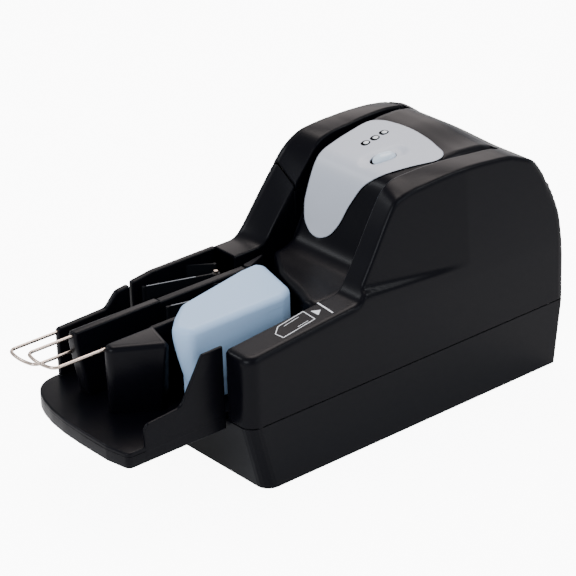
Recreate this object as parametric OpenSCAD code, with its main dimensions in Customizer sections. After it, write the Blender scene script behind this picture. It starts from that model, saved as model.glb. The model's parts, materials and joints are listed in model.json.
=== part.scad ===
// Desktop cheque scanner: a black two-piece case with a document track round its middle island,
// a feed hopper with a swinging flag, two exit pockets with pull-out wires, and a control panel.
// Millimetres. +Z is up, +Y runs from the pockets to the back, +X is the feed side.
// The origin is on the table, in the middle of the footprint.

/* [Case] */
// Width over the side walls
body_w = 155; // [150:1:162]
// Length of the case, without the pocket tray
body_len = 304; // [296:1:320]
// Case front face, measured from the origin
front_y = -100; // [-104:1:-96]
// Height of the highest point of the covers
top_z = 190; // [184:1:196]
// Height of the seam between lower casing and covers
seam_z = 55; // [53:1:56]
// Skin thickness of the mouldings
wall = 2.5; // [2:0.1:3]
// How far the casing draws in towards its foot on each side
draft = 2; // [1:0.5:5]
// How far the casing draws in towards its foot at the back
rear_draft = 5; // [3:0.5:7]
// How far the front of the casing slopes back at its foot
front_rake = 14; // [8:1:18]
// Corner radius at the front of the case
front_r = 10; // [6:1:12]
// Corner radius at the back of the case
rear_r = 3; // [2.9:0.1:8]

/* [Covers] */
// Height of the feed-side ledge at its front end
ledge_z = 109.3; // [107:0.1:112]
// Rise of the ledge from front to back
ledge_rise = 9; // [6:0.5:11]
// Height of the exit-side wall behind the notch
left_wall_z = 115.5; // [112:0.5:118]
// Width of the feed-side housing, slot edge to side wall
feed_bay_w = 26.5; // [26:0.5:28]
// Width of the exit-side housing, slot edge to side wall
exit_bay_w = 28.5; // [28:0.5:30]
// Distance from the case back to the top ridge
ridge_in = 26; // [24:0.5:28]
// Drop of the ridge below the top
ridge_drop = 17.5; // [16:0.5:20]
// Where the document slots end, ahead of the case back
slot_end_in = 44; // [42:0.5:46]
// Depth of the recessed side panel at its front edge
scoop = 6.5; // [4:0.5:8]
// Distance over which the recessed side panel fades out
scoop_len = 102; // [90:1:110]

/* [Document track] */
// Height of the track and pocket floor
floor_z = 60; // [59.5:0.5:62]
// Width of the document track
track_w = 3; // [2.5:0.1:3.5]
// Height of the guides above the track floor
guide_h = 98; // [90:1:102]
// Thickness of the sheet guides
guide_t = 2; // [1.6:0.1:2.2]

/* [Pocket tray] */
// How far the tray stands out in front of the case
tray_out = 88; // [80:1:94]
// Depth of the tray rim
tray_depth = 12; // [10:0.5:14]
// Thickness of the outer tray wall on the exit side
tray_wall_t = 5; // [4.5:0.1:6]
// Height of the exit-side tray wall at its front
tray_wall_low_z = 98; // [97:0.5:100]
// Height of the pocket divider
divider_z = 112; // [110:0.5:114]
// Width of the divider along its top
divider_w = 7; // [6.5:0.5:8]
// Middle of the divider, across the case
divider_x = -38.5; // [-39.5:0.5:-38]
// Front end of the divider, ahead of the case front
divider_out = 63; // [58:1:66]
// Thickness of the wall between pocket and hopper
hopper_wall_t = 5; // [4.6:0.1:5.5]
// Left face of the wall between pocket and hopper
hopper_wall_x = -9.5; // [-10.5:0.5:-9]

/* [Pocket wires] */
// Wire diameter
wire_d = 2.5; // [2:0.1:2.8]
// Gap round a wire leg in its bore
wire_fit = 0.08; // [0.05:0.01:0.1]
// How far the near loop stands out in front of the divider
near_wire_out = 38.5; // [38:0.5:45]
// Height of the near loop
near_wire_z = 108.6; // [108:0.1:109]
// Height of the far loop
far_wire_z = 94; // [90:0.5:95]
// Length of each leg inside its bore
wire_engage = 38; // [30:1:40]

/* [Feeder flag] */
// Height of the flag top
flag_z = 122; // [119:0.5:124]
// Skin of the flag
flag_t = 2.5; // [2:0.1:3]
// Flag pin diameter
flag_pin_d = 6; // [5:0.5:7]
// Running gap of pins and shafts in their bores
pin_fit = 0.05; // [0.03:0.01:0.08]

/* [Rollers] */
// Tyre radius of the driven rollers
drive_r = 9; // [8:0.5:9.5]
// Tyre radius of the pinch rollers
pinch_r = 6; // [5.5:0.5:6.5]
// Shaft radius of all rollers
shaft_r = 2.5; // [2:0.1:3]
// Shaft radius of the pinch rollers
pinch_shaft_r = 1.8; // [1.5:0.1:2]
// Gap between two rollers that meet
nip = 0.3; // [0.3:0.05:0.4]
// Height of a tyre
tyre_h = 12; // [10:1:14]
// Distance between the two tyres on a shaft
tyre_step = 34; // [28:1:38]
// Pulley radius below the deck
pulley_r = 7; // [6:0.5:7.5]
// Belt thickness
belt_t = 1.2; // [1:0.1:1.5]

/* [Controls] */
// Thickness of the panel inlay
panel_t = 1.8; // [1.5:0.1:2.2]
// Length of the oval button
button_len = 15; // [13:0.5:16]
// Width of the oval button
button_w = 9; // [8:0.5:10]
// Travel of the button
button_travel = 1.2; // [1:0.1:1.5]
// Radius of a status light
light_r = 2.4; // [2:0.1:2.8]

/* [Base] */
// Height of the rubber feet
foot_h = 2; // [1.5:0.5:4]
// Radius of the rubber feet
foot_r = 8; // [7:0.5:9]
// Top of the steel chassis plate
chassis_z = 38; // [36:0.5:39]
// Thickness of the steel chassis plate
chassis_t = 2; // [1.5:0.1:2.5]
// Thickness of the deck
deck_t = 3; // [2.5:0.1:3.2]
// Thickness of the circuit board
board_t = 1.6; // [1.2:0.1:2]

/* [Hidden] */
$fn = 48;
EPS = 0.01;
HW = body_w / 2;
rear_y = front_y + body_len;
ridge_y = rear_y - ridge_in;
ridge_z = top_z - ridge_drop;
slot_end_y = rear_y - slot_end_in;
tray_y = front_y - tray_out;
tray_rear_y = front_y + 88;
casing_z = foot_h;

// Track lines across the case
feed_x = HW - feed_bay_w;
exit_x = -HW + exit_bay_w;
island_right_x = feed_x - track_w;
exit_guide_x = exit_x + track_w;
uturn_x = (feed_x + exit_x) / 2;
uturn_out_r = (feed_x - exit_x) / 2;
uturn_in_r = uturn_out_r - track_w;
uturn_back = 29;
uturn_y = rear_y - uturn_back - uturn_out_r;
guide_top_z = floor_z + guide_h;

// Outline helpers. A corner is [u, v, radius], listed counter-clockwise.
function unit2(v) = v / norm(v);
function flat(v) = [v[0], v[1]];
function inward(a, b) = let (d = unit2(flat(b) - flat(a))) [-d[1], d[0]];
function inset_corner(a, b, c, d) =
    let (n1 = inward(a, b), n2 = inward(b, c), k = d / (1 + n1 * n2), turn = cross(n1, n2))
    [b[0] + k * (n1[0] + n2[0]), b[1] + k * (n1[1] + n2[1]),
     b[2] == 0 ? 0 : max(b[2] - (turn > 0 ? d : -d), 0.3)];
function inset(p, d) = d == 0 ? p : [for (i = [0:len(p) - 1])
    inset_corner(p[(i + len(p) - 1) % len(p)], p[i], p[(i + 1) % len(p)], d)];
function wrap180(a) = a > 180 ? a - 360 : (a < -180 ? a + 360 : a);
function is_bend(a, b, c) = abs(cross(unit2(flat(b) - flat(a)), unit2(flat(c) - flat(b)))) > 0.001;
function corner_arc(a, b, c, n) = b[2] == 0 || !is_bend(a, b, c) ? [flat(b)] :
    let (u = unit2(flat(a) - flat(b)), v = unit2(flat(c) - flat(b)),
         half = acos(max(-1, min(1, u * v))) / 2,
         reach = 0.49 * min(norm(flat(a) - flat(b)), norm(flat(c) - flat(b))),
         t = min(b[2] / tan(half), reach), r = t * tan(half),
         o = flat(b) + unit2(u + v) * r / sin(half),
         s = flat(b) + u * t - o, e = flat(b) + v * t - o,
         a0 = atan2(s[1], s[0]), da = wrap180(atan2(e[1], e[0]) - a0))
    [for (k = [0:n]) o + r * [cos(a0 + da * k / n), sin(a0 + da * k / n)]];
function rounded(p, n = 6) = [for (i = [0:len(p) - 1])
    each corner_arc(p[(i + len(p) - 1) % len(p)], p[i], p[(i + 1) % len(p)], n)];

// Extrusions of an outline drawn in the Y-Z plane, in the X-Z plane and in plan.
module along_x(x0, x1) translate([x0, 0, 0]) rotate([90, 0, 90]) linear_extrude(x1 - x0) children();
module along_y(y0, y1) translate([0, y1, 0]) rotate([90, 0, 0]) linear_extrude(y1 - y0) children();
module along_z(z0, z1) translate([0, 0, z0]) linear_extrude(z1 - z0) children();
module box(lo, hi) translate(lo) cube(hi - lo);
module post(x, y, z0, z1, r) translate([x, y, z0]) cylinder(h = z1 - z0, r = r);

// Side profiles of the covers, in Y and Z. The back bulges in one sweep up to the ridge.
back_line = [
    [rear_y, seam_z + 42, 120], [rear_y - 4.5, ridge_z - 38.5, 70], [ridge_y + 8.5, ridge_z - 8, 50],
    [ridge_y - 3, ridge_z + 5.5, 30]];
feed_profile = concat([[front_y, seam_z, 0], [rear_y, seam_z, 0]], back_line, [
    [ridge_y - 26, top_z + 0.3, 40], [front_y + 188, top_z + 1.2, 160], [front_y + 150, top_z + 0.4, 16],
    [front_y + 103, ledge_z + ledge_rise, 7], [front_y, ledge_z, 4]]);
exit_profile = concat([[front_y + 92, seam_z, 0], [rear_y, seam_z, 0]], back_line, [
    [ridge_y - 22, top_z - 8.2, 60], [ridge_y - 52, top_z - 4.4, 120],
    [front_y + 180, top_z - 4, 160], [front_y + 160, top_z - 5.6, 12],
    [front_y + 114, left_wall_z + 1.2, 10], [front_y + 92, left_wall_z, 3]]);
island_profile = [
    [front_y + 86, floor_z, 0], [slot_end_y, floor_z, 0], [slot_end_y, top_z - 5, 3],
    [front_y + 246, top_z + 0.6, 30], [front_y + 228, top_z + 0.8, 60],
    [front_y + 186, top_z - 7, 60], [front_y + 167, top_z - 11, 14], [front_y + 145, 121, 22],
    [front_y + 130, divider_z + 2, 16], [front_y + 86, divider_z, 2]];

// Outline of the whole case, seen from above and from the front.
case_plan = [
    [-HW, front_y, 0], [HW, front_y, front_r], [HW, rear_y, rear_r], [-HW, rear_y, rear_r]];
lean = 4.5;
case_front = [
    [-HW, seam_z, 0], [HW, seam_z, 0], [HW, seam_z + 48, 60], [HW - lean, top_z + 2, 7],
    [-HW + lean, top_z + 2, 7], [-HW, seam_z + 48, 60]];
island_left_x = exit_x + 8;
island_plan = [
    [island_left_x, front_y + 122, 3], [island_left_x + 27, front_y + 104, 8],
    [feed_x - 31, front_y + 92, 8], [feed_x - 18, front_y + 86, 4],
    [island_right_x - guide_t - 0.3, front_y + 86, 2],
    [island_right_x - guide_t - 0.3, slot_end_y, 2], [island_left_x, slot_end_y, 2]];

// A case volume set in by d from its outer faces. The seam face stays open.
module case_volume(profile, d) {
    intersection() {
        along_x(-HW - 1, HW + 1) polygon(rounded(inset(profile, d), 5));
        along_z(seam_z - 20, top_z + 20) polygon(rounded(inset(case_plan, d), 6));
        along_y(tray_y, rear_y + 1) polygon(rounded(inset(case_front, d), 5));
    }
}

// A cover shell over one strip of the case, in x and in y, open below.
module cover_shell(profile, x0, x1, y0, y1) {
    difference() {
        intersection() {
            case_volume(profile, 0);
            box([x0, y0, seam_z], [x1, y1, top_z + 5]);
        }
        intersection() {
            case_volume(profile, wall);
            box([x0 + wall, y0 + wall, seam_z - 5], [x1 - wall, y1 - wall, top_z + 5]);
        }
        translate([0, 0, -wall - 4]) intersection() {
            case_volume(profile, wall);
            box([x0 + wall, y0 + wall, seam_z - 5], [x1 - wall, y1 - wall, seam_z + 12]);
        }
    }
}

// Lower half of the case: a drawn-in tub with four screw bosses.
module casing_volume(d) {
    foot_plan = [
        [-HW + draft, front_y + front_rake, 6], [HW - draft, front_y + front_rake, front_r],
        [HW - draft, rear_y - rear_draft, rear_r], [-HW + draft, rear_y - rear_draft, rear_r]];
    rim_plan = [
        [-HW, front_y, 6], [HW, front_y, front_r], [HW, rear_y, rear_r], [-HW, rear_y, rear_r]];
    hull() {
        along_z(casing_z + d, casing_z + d + 0.5) polygon(rounded(inset(foot_plan, d), 5));
        along_z(seam_z - 0.5, seam_z) polygon(rounded(inset(rim_plan, d), 5));
    }
}
boss_x = HW - 17;
boss_front_y = front_y + 22;
boss_rear_y = rear_y - 28;
boss_r = 5;
screw_r = 1.6;
screw_head_r = 3;
screw_head_h = 2;
screw_sink = 3;
foot_seat = 0.8;
foot_shift = 17;
boss_places = [
    [-boss_x, boss_front_y], [boss_x, boss_front_y], [boss_x, boss_rear_y], [-boss_x, boss_rear_y]];
foot_places = [for (p = boss_places) [p[0], p[1] + (p[1] < boss_front_y + 1 ? foot_shift : -foot_shift)]];
board_left_x = -HW + 24;
inlet_x = board_left_x + 19.5;
inlet_z = 22;
usb_x = board_left_x + 61.5;
module lower_casing() color([0.10, 0.10, 0.11]) {
    difference() {
        casing_volume(0);
        difference() {
            union() {
                casing_volume(wall);
                intersection() {
                    casing_volume(wall - EPS);
                    box([-HW, front_y, seam_z - 1], [HW, rear_y, seam_z + 1]);
                }
            }
            for (p = boss_places) post(p[0], p[1], casing_z, chassis_z - chassis_t, boss_r);
        }
        for (p = boss_places) {
            post(p[0], p[1], casing_z - 1, seam_z, screw_r);
            post(p[0], p[1], casing_z - 1, casing_z + screw_sink, screw_head_r + 0.2);
        }
        for (p = foot_places) post(p[0], p[1], casing_z - 1, casing_z + foot_seat, foot_r);
        box([inlet_x - 7, rear_y - 30, inlet_z - 6], [inlet_x + 7, rear_y + 1, inlet_z + 6]);
        box([usb_x - 6.2, rear_y - 30, inlet_z - 5.7], [usb_x + 6.2, rear_y + 1, inlet_z + 5.7]);
        for (i = [-5:5])
            box([i * 8 - 1.5, front_y + 110, casing_z - 1], [i * 8 + 1.5, front_y + 150, casing_z + 3]);
    }
}
module base_screws() color([0.7, 0.7, 0.7]) {
    for (p = boss_places) {
        post(p[0], p[1], casing_z + screw_sink - screw_head_h, casing_z + screw_sink, screw_head_r);
        post(p[0], p[1], casing_z + screw_sink - EPS, chassis_z + 5, screw_r);
    }
}
module rubber_feet() color([0.2, 0.2, 0.2])
    for (p = foot_places) post(p[0], p[1], 0, casing_z + foot_seat, foot_r);

// Rollers: four driven ones round the inside of the track, three behind the feed wall.
drive_places = [
    [island_right_x - drive_r + 0.4 + 1, front_y + 148, 0],
    [island_right_x - drive_r + 0.4 + 1, front_y + 212, 0],
    [uturn_x, uturn_y + uturn_in_r - drive_r + 1.4, 90],
    [exit_guide_x + drive_r - 1.4, front_y + 160, 180]];
function pinch_place(p) = let (d = drive_r + pinch_r + nip) [p[0] + d * cos(p[2]), p[1] + d * sin(p[2])];
feed_roller_x = feed_x - 1 - 1.6 + drive_r;
feed_places = [
    [feed_roller_x, front_y + 38], [feed_roller_x, front_y + 66], [feed_roller_x, front_y + 98]];
motor_place = [uturn_x - 1, front_y + 150];
feed_motor_place = [feed_roller_x - 42, front_y + 66];
tyre_z = floor_z + 22;
pulley_z = chassis_z + 3;
pulley_h = 8;
deck_z = floor_z - deck_t;
separator_place = [feed_roller_x - 2 * drive_r - nip, front_y + 98];

module shaft_with_tyres(p, r, z0, tyres = 2, core = shaft_r) {
    union() {
        post(p[0], p[1], z0, tyre_z + (tyres - 1) * tyre_step + tyre_h + 3, core);
        for (k = [0:tyres - 1])
            post(p[0], p[1], tyre_z + k * tyre_step, tyre_z + k * tyre_step + tyre_h, r);
    }
}
module driven_roller(p, tyres) color([0.25, 0.25, 0.27]) {
    shaft_with_tyres(p, drive_r, chassis_z - chassis_t, tyres);
    post(p[0], p[1], pulley_z, pulley_z + pulley_h, pulley_r);
    post(p[0], p[1], floor_z + 0.3, floor_z + 3, shaft_r + 2);
}
module pinch_roller(p) color([0.85, 0.85, 0.85]) {
    q = pinch_place(p);
    shaft_with_tyres(q, pinch_r, floor_z + 4, 2, pinch_shaft_r);
}
module drive_roller_1() driven_roller(drive_places[0], 2);
module drive_roller_2() driven_roller(drive_places[1], 2);
module drive_roller_3() driven_roller(drive_places[2], 2);
module drive_roller_4() driven_roller(drive_places[3], 2);
module pinch_roller_1() pinch_roller(drive_places[0]);
module pinch_roller_2() pinch_roller(drive_places[1]);
module pinch_roller_3() pinch_roller(drive_places[2]);
module pinch_roller_4() pinch_roller(drive_places[3]);
module feed_roller_1() driven_roller(feed_places[0], 1);
module feed_roller_2() driven_roller(feed_places[1], 1);
module feed_roller_3() driven_roller(feed_places[2], 1);

// Window cut through a track wall for a pair of tyres.
module tyre_window(p, r, tyres = 2) {
    for (k = [0:tyres - 1]) {
        z = tyre_z + k * tyre_step;
        post(p[0], p[1], z - 1.5, z + tyre_h + 1.5, r + 1);
    }
}

// Deck: the track floor inside the covers, bored for every shaft.
deck_plan = [
    [-HW + wall + 0.4, tray_rear_y + 0.4, 1], [feed_x + wall + 0.3, tray_rear_y + 0.4, 0],
    [feed_x + wall + 0.3, front_y + wall + 0.4, 1],
    [HW - wall - 0.4, front_y + wall + 0.4, front_r - wall],
    [HW - wall - 0.4, rear_y - wall - 0.4, max(rear_r - wall, 0.3)],
    [-HW + wall + 0.4, rear_y - wall - 0.4, max(rear_r - wall, 0.3)]];
module deck() color([0.3, 0.3, 0.32]) {
    difference() {
        union() {
            along_z(deck_z, floor_z) polygon(rounded(deck_plan, 5));
            for (i = [1:3])
                post(boss_places[i][0], boss_places[i][1], chassis_z, deck_z + EPS, boss_r);
        }
        for (p = boss_places) post(p[0], p[1], chassis_z - 1, chassis_z + 8, screw_r);
        for (p = concat(drive_places, feed_places))
            post(p[0], p[1], deck_z - 1, floor_z + 1, shaft_r + pin_fit);
        post(gate_place[0], gate_place[1], deck_z - 1, floor_z + 1, leaf_pin_r + pin_fit);
    }
}
module chassis_plate() color([0.6, 0.62, 0.64]) {
    chassis_plan = [
        [-HW + 9, front_y + 18, 4], [HW - 9, front_y + 18, 4],
        [HW - 9, rear_y - 14, 4], [-HW + 9, rear_y - 14, 4]];
    difference() {
        along_z(chassis_z - chassis_t, chassis_z) polygon(rounded(chassis_plan, 4));
        for (p = boss_places) post(p[0], p[1], chassis_z - 5, chassis_z + 1, screw_r);
        for (p = concat(drive_places, feed_places))
            post(p[0], p[1], chassis_z - 5, chassis_z + 1, shaft_r + pin_fit);
        for (p = [motor_place, feed_motor_place])
            post(p[0], p[1], chassis_z - 5, chassis_z + 1, 5);
    }
}

// Motors hang below the chassis; one belt drives the track, one the feeder.
motor_r = 17;
motor_len = 26;
belt_gap = 0.3;
module belt_outline(ps, r) hull() for (p = ps) translate(flat(p)) circle(r, $fn = 32);
module belt(ps) along_z(pulley_z + 1, pulley_z + pulley_h - 1) difference() {
    belt_outline(ps, pulley_r + belt_gap + belt_t);
    belt_outline(ps, pulley_r + belt_gap);
}
module motor(p) color([0.45, 0.46, 0.48]) {
    difference() {
        union() {
            post(p[0], p[1], chassis_z - chassis_t - motor_len, chassis_z - chassis_t, motor_r);
            post(p[0], p[1], chassis_z - chassis_t - EPS, chassis_z, 4.9);
        }
        post(p[0], p[1], chassis_z - chassis_t - 8, chassis_z + 1, shaft_r + pin_fit);
    }
}
module motor_pulley(p) color([0.8, 0.75, 0.5]) {
    post(p[0], p[1], chassis_z - chassis_t - 7.5, pulley_z + EPS, shaft_r);
    post(p[0], p[1], pulley_z, pulley_z + pulley_h, pulley_r);
}
module drive_motor() motor(motor_place);
module drive_motor_pulley() motor_pulley(motor_place);
module drive_belt() color([0.15, 0.15, 0.15])
    belt([motor_place, drive_places[0], drive_places[1], drive_places[2], drive_places[3]]);
module feed_motor() motor(feed_motor_place);
module feed_motor_pulley() motor_pulley(feed_motor_place);
module feed_belt() color([0.15, 0.15, 0.15])
    belt([feed_motor_place, feed_places[0], feed_places[1], feed_places[2]]);

// Circuit board on four standoffs, with the sockets at the back.
module main_board() color([0.1, 0.4, 0.2]) {
    board_z = casing_z + wall + 4;
    x0 = board_left_x;
    x1 = HW - 26;
    y0 = rear_y - 92;
    y1 = rear_y - 16;
    difference() {
        union() {
            box([x0, y0, board_z], [x1, y1, board_z + board_t]);
            for (x = [x0 + 6, x1 - 6], y = [y0 + 6, y1 - 6])
                post(x, y, casing_z + wall, board_z + EPS, 2.5);
        }
        for (x = [x0 + 6, x1 - 6], y = [y0 + 6, y1 - 6])
            post(x, y, casing_z + wall + 1, board_z + 5, 1.2);
    }
    for (i = [0:3])
        box([x0 + 14 + i * 22, y0 + 14, board_z + board_t - EPS], [x0 + 28 + i * 22, y0 + 30, board_z + 4]);
}
socket_back_y = rear_y - 0.6 * rear_draft;
module power_inlet() color([0.15, 0.15, 0.16]) {
    difference() {
        box([inlet_x - 6.8, socket_back_y - 18, inlet_z - 5.8],
            [inlet_x + 6.8, socket_back_y, inlet_z + 5.8]);
        translate([inlet_x, socket_back_y + 1, inlet_z]) rotate([90, 0, 0]) cylinder(h = 11, r = 4);
    }
    translate([inlet_x, socket_back_y - 1.5, inlet_z]) rotate([90, 0, 0]) cylinder(h = 10, r = 1);
    box([inlet_x - 5, socket_back_y - 18, casing_z + wall + 4 + board_t],
        [inlet_x + 5, socket_back_y - 8, inlet_z - 5]);
}
module usb_socket() color([0.75, 0.76, 0.78]) {
    difference() {
        box([usb_x - 6, socket_back_y - 18, inlet_z - 5.5], [usb_x + 6, socket_back_y, inlet_z + 5.5]);
        box([usb_x - 4.5, socket_back_y - 12, inlet_z - 4], [usb_x + 4.5, socket_back_y + 1, inlet_z + 4]);
    }
    box([usb_x - 2.8, socket_back_y - 13, inlet_z - 1.6], [usb_x + 2.8, socket_back_y - 2, inlet_z + 1.6]);
    box([usb_x - 5, socket_back_y - 18, casing_z + wall + 4 + board_t],
        [usb_x + 5, socket_back_y - 8, inlet_z - 5]);
}

// Guides that stand on the deck on both sides of the document track.
guide_front_y = front_y + 112;
module guide_ring(r_out, x_right, x_left, y0, z1) {
    difference() {
        along_z(floor_z, z1) union() {
            translate([uturn_x, uturn_y]) circle(r_out);
            translate([x_left, y0]) square([x_right - x_left, uturn_y - y0]);
        }
        along_z(floor_z - 1, z1 + 1) union() {
            translate([uturn_x, uturn_y]) circle(r_out - guide_t);
            translate([x_left + guide_t, y0 - 1])
                square([x_right - x_left - 2 * guide_t, uturn_y - y0 + 1.1]);
        }
    }
}
module inner_guide() color([0.22, 0.22, 0.24]) {
    difference() {
        intersection() {
            guide_ring(uturn_in_r, island_right_x, exit_guide_x, guide_front_y, guide_top_z);
            along_x(-HW, HW) polygon([
                [guide_front_y - 1, floor_z - 1], [rear_y, floor_z - 1], [rear_y, top_z],
                [front_y + 170, guide_top_z + 4], [front_y + 140, divider_z - 6],
                [guide_front_y - 1, divider_z - 8]]);
        }
        for (p = drive_places) tyre_window(p, drive_r);
        box([island_right_x - guide_t - 1, micr_y - 6, floor_z - 1],
            [island_right_x + 0.1, micr_y + 6, floor_z + 28]);
        box([exit_guide_x - 1, guide_front_y - 2, floor_z - 1],
            [exit_guide_x + 3, guide_front_y + 14, top_z]);
    }
}
module rear_guide() color([0.22, 0.22, 0.24]) {
    difference() {
        intersection() {
            guide_ring(uturn_out_r + guide_t, feed_x + guide_t, exit_x - guide_t,
                slot_end_y + 3.2, guide_top_z - 2);
            case_volume(feed_profile, wall + pin_fit);
        }
        box([-HW, front_y, 0], [HW, slot_end_y + 3.2, top_z]);
        tyre_window(pinch_place(drive_places[2]), pinch_r);
    }
}

// Sensors beside the feed-side track.
micr_y = front_y + 124;
front_bar_y = front_y + 176;
rear_bar_y = front_y + 190;
module sensor_window(y, w, x0, x1)
    box([x0, y - w / 2, floor_z + 6], [x1, y + w / 2, guide_top_z - 22]);
module micr_head() color([0.7, 0.7, 0.72]) {
    x0 = island_right_x - 14;
    difference() {
        box([x0, micr_y - 5, floor_z], [island_right_x - 0.2, micr_y + 5, floor_z + 26]);
        box([x0 - 1, micr_y - 3, floor_z - 1], [x0 + 8, micr_y + 3, floor_z + 20]);
    }
}
module image_bar(y, x0, x1) {
    difference() {
        box([x0, y - 5, floor_z], [x1, y + 5, guide_top_z - 24]);
        box([min(x0, x1) + 2, y - 3, floor_z + 4], [max(x0, x1) - 2, y + 3, guide_top_z - 28]);
    }
}
module front_image_bar() color([0.2, 0.25, 0.3])
    image_bar(front_bar_y, island_right_x - guide_t - 12, island_right_x - guide_t - 0.3);
module rear_image_bar() color([0.2, 0.25, 0.3])
    image_bar(rear_bar_y, feed_x + wall + 0.3, feed_x + wall + 12);

// Brackets that carry the pinch rollers in open slots, on their far sides.
module pinch_bracket(p) {
    q = pinch_place(p);
    z0 = floor_z;
    z1 = tyre_z + tyre_step + tyre_h + 6;
    away = pinch_r + 1.5;
    near = -pinch_shaft_r + 0.2;
    translate([q[0], q[1], 0]) rotate([0, 0, p[2]]) {
        difference() {
            union() {
                box([away, -5, z0], [away + 2, 5, z1]);
                box([near, -5, z0], [away + 1, 5, z0 + 3.5]);
                box([near, -5, z1 - 4], [away + 1, 5, z1]);
            }
            post(0, 0, z1 - 6, z1 + 1, pinch_shaft_r + pin_fit);
        }
    }
}
module pinch_brackets() color([0.6, 0.6, 0.62]) for (p = drive_places) pinch_bracket(p);

// The recessed side panel, deepest at its front edge and fading out towards the back.
scoop_front_y = front_y + 106;
module scoop_volume(grow) {
    panel = [
        [scoop_front_y, seam_z + 68, 3], [scoop_front_y + scoop_len, seam_z + 59, 20],
        [ridge_y - 20, top_z - 12, 20], [ridge_y - 30, top_z + 6, 0], [front_y + 150, top_z + 6, 0],
        [front_y + 143, top_z - 12, 12]];
    translate([-grow, 0, 0]) intersection() {
        along_x(feed_x, HW + 10) polygon(rounded(inset(panel, -grow), 5));
        translate([HW - scoop, scoop_front_y, 0]) rotate([0, 0, -atan(scoop / scoop_len)])
            box([0, -20, seam_z], [40, scoop_len + 60, top_z + 20]);
        along_y(front_y, rear_y) polygon([
            [HW - scoop - 2.6, top_z + 10], [HW - scoop + 0.6, seam_z + 55], [HW + 12, seam_z + 55],
            [HW + 12, top_z + 10]]);
    }
}

// Feed cover: the feed-side housing, the ledge and the whole back of the case.
hopper_face_x = feed_x - 1;
module feed_side_zone(d) {
    box([feed_x + d, front_y - 1, seam_z - 6 * d], [HW + 1, slot_end_y + 20, top_z + 5]);
    box([-HW - 1, slot_end_y + 0.5 + d, seam_z - 6 * d], [HW + 1, rear_y + 1, top_z + 5]);
}
module feed_cover() color([0.10, 0.10, 0.11]) {
    difference() {
        union() {
            difference() {
                intersection() {
                    case_volume(feed_profile, 0);
                    feed_side_zone(0);
                }
                scoop_volume(0);
                difference() {
                    intersection() {
                        union() {
                            case_volume(feed_profile, wall);
                            translate([0, 0, -wall - 4]) intersection() {
                                case_volume(feed_profile, wall);
                                box([-HW, front_y, seam_z], [HW, rear_y, seam_z + 20]);
                            }
                        }
                        feed_side_zone(wall);
                    }
                    scoop_volume(wall);
                }
            }
            intersection() {
                case_volume(feed_profile, 0);
                box([hopper_face_x, front_y + 1, floor_z], [feed_x + wall, tray_rear_y, top_z]);
            }
        }
        for (p = feed_places) tyre_window(p, drive_r, 1);
        for (p = feed_places) post(p[0], p[1], floor_z - 6, floor_z + 4, shaft_r + 3);
        tyre_window(pinch_place(drive_places[0]), pinch_r);
        tyre_window(pinch_place(drive_places[1]), pinch_r);
        sensor_window(rear_bar_y, 8, feed_x - 1, feed_x + wall + 0.1);
        box([-HW - 1, tray_rear_y - 1, seam_z - 1],
            [feed_x + wall + 1, slot_end_y + 0.5 + wall + 1, floor_z + 0.2]);
        box([-HW - 1, front_y - 1, seam_z - 1], [feed_x - EPS, rear_y - 20, floor_z + 0.2]);
        box([exit_x - 3, slot_end_y, seam_z - 1], [feed_x - EPS, slot_end_y + 5, guide_top_z]);
    }
}

// Island cover: the middle block inside the track, with the concave foot behind the hopper.
island_core_r = uturn_in_r - guide_t - 0.4;
module island_volume(d) {
    intersection() {
        along_x(-HW, HW) polygon(rounded(inset(island_profile, d), 6));
        union() {
            along_z(guide_top_z + 1 + d, top_z + 10) polygon(rounded(inset(island_plan, d), 6));
            along_z(floor_z - 5, top_z + 10) intersection() {
                polygon(rounded(inset(island_plan, d), 6));
                union() {
                    translate([uturn_x, uturn_y]) circle(island_core_r - d);
                    translate([-HW, front_y]) square([body_w, uturn_y - front_y]);
                }
            }
        }
    }
}
module island_cover() color([0.11, 0.11, 0.12]) {
    difference() {
        island_volume(0);
        island_volume(wall);
        translate([0, 0, -wall - 1]) intersection() {
            island_volume(wall);
            box([-HW, front_y, 0], [HW, rear_y, floor_z + 10]);
        }
        for (p = drive_places) tyre_window(p, drive_r);
        for (p = drive_places) post(p[0], p[1], floor_z - 1, guide_top_z - 20, shaft_r + 3);
        box([island_right_x - 26, micr_y - 6, floor_z - 1], [island_right_x + 1, micr_y + 6, floor_z + 28]);
        box([island_right_x - 20, front_bar_y - 6, floor_z - 1],
            [island_right_x + 1, front_bar_y + 6, guide_top_z - 22]);
        post(separator_place[0], separator_place[1], floor_z - 1, divider_z - 4, drive_r + 1);
        box([separator_place[0], front_y + 80, floor_z - 1],
            [island_right_x + 1, front_y + 108, divider_z - 4]);
        panel_band(0, panel_t, 0);
        button_hole(1);
        for (p = light_places) post(p[0], p[1], top_z - 20, top_z + 10, light_r + 0.1);
    }
}

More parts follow.
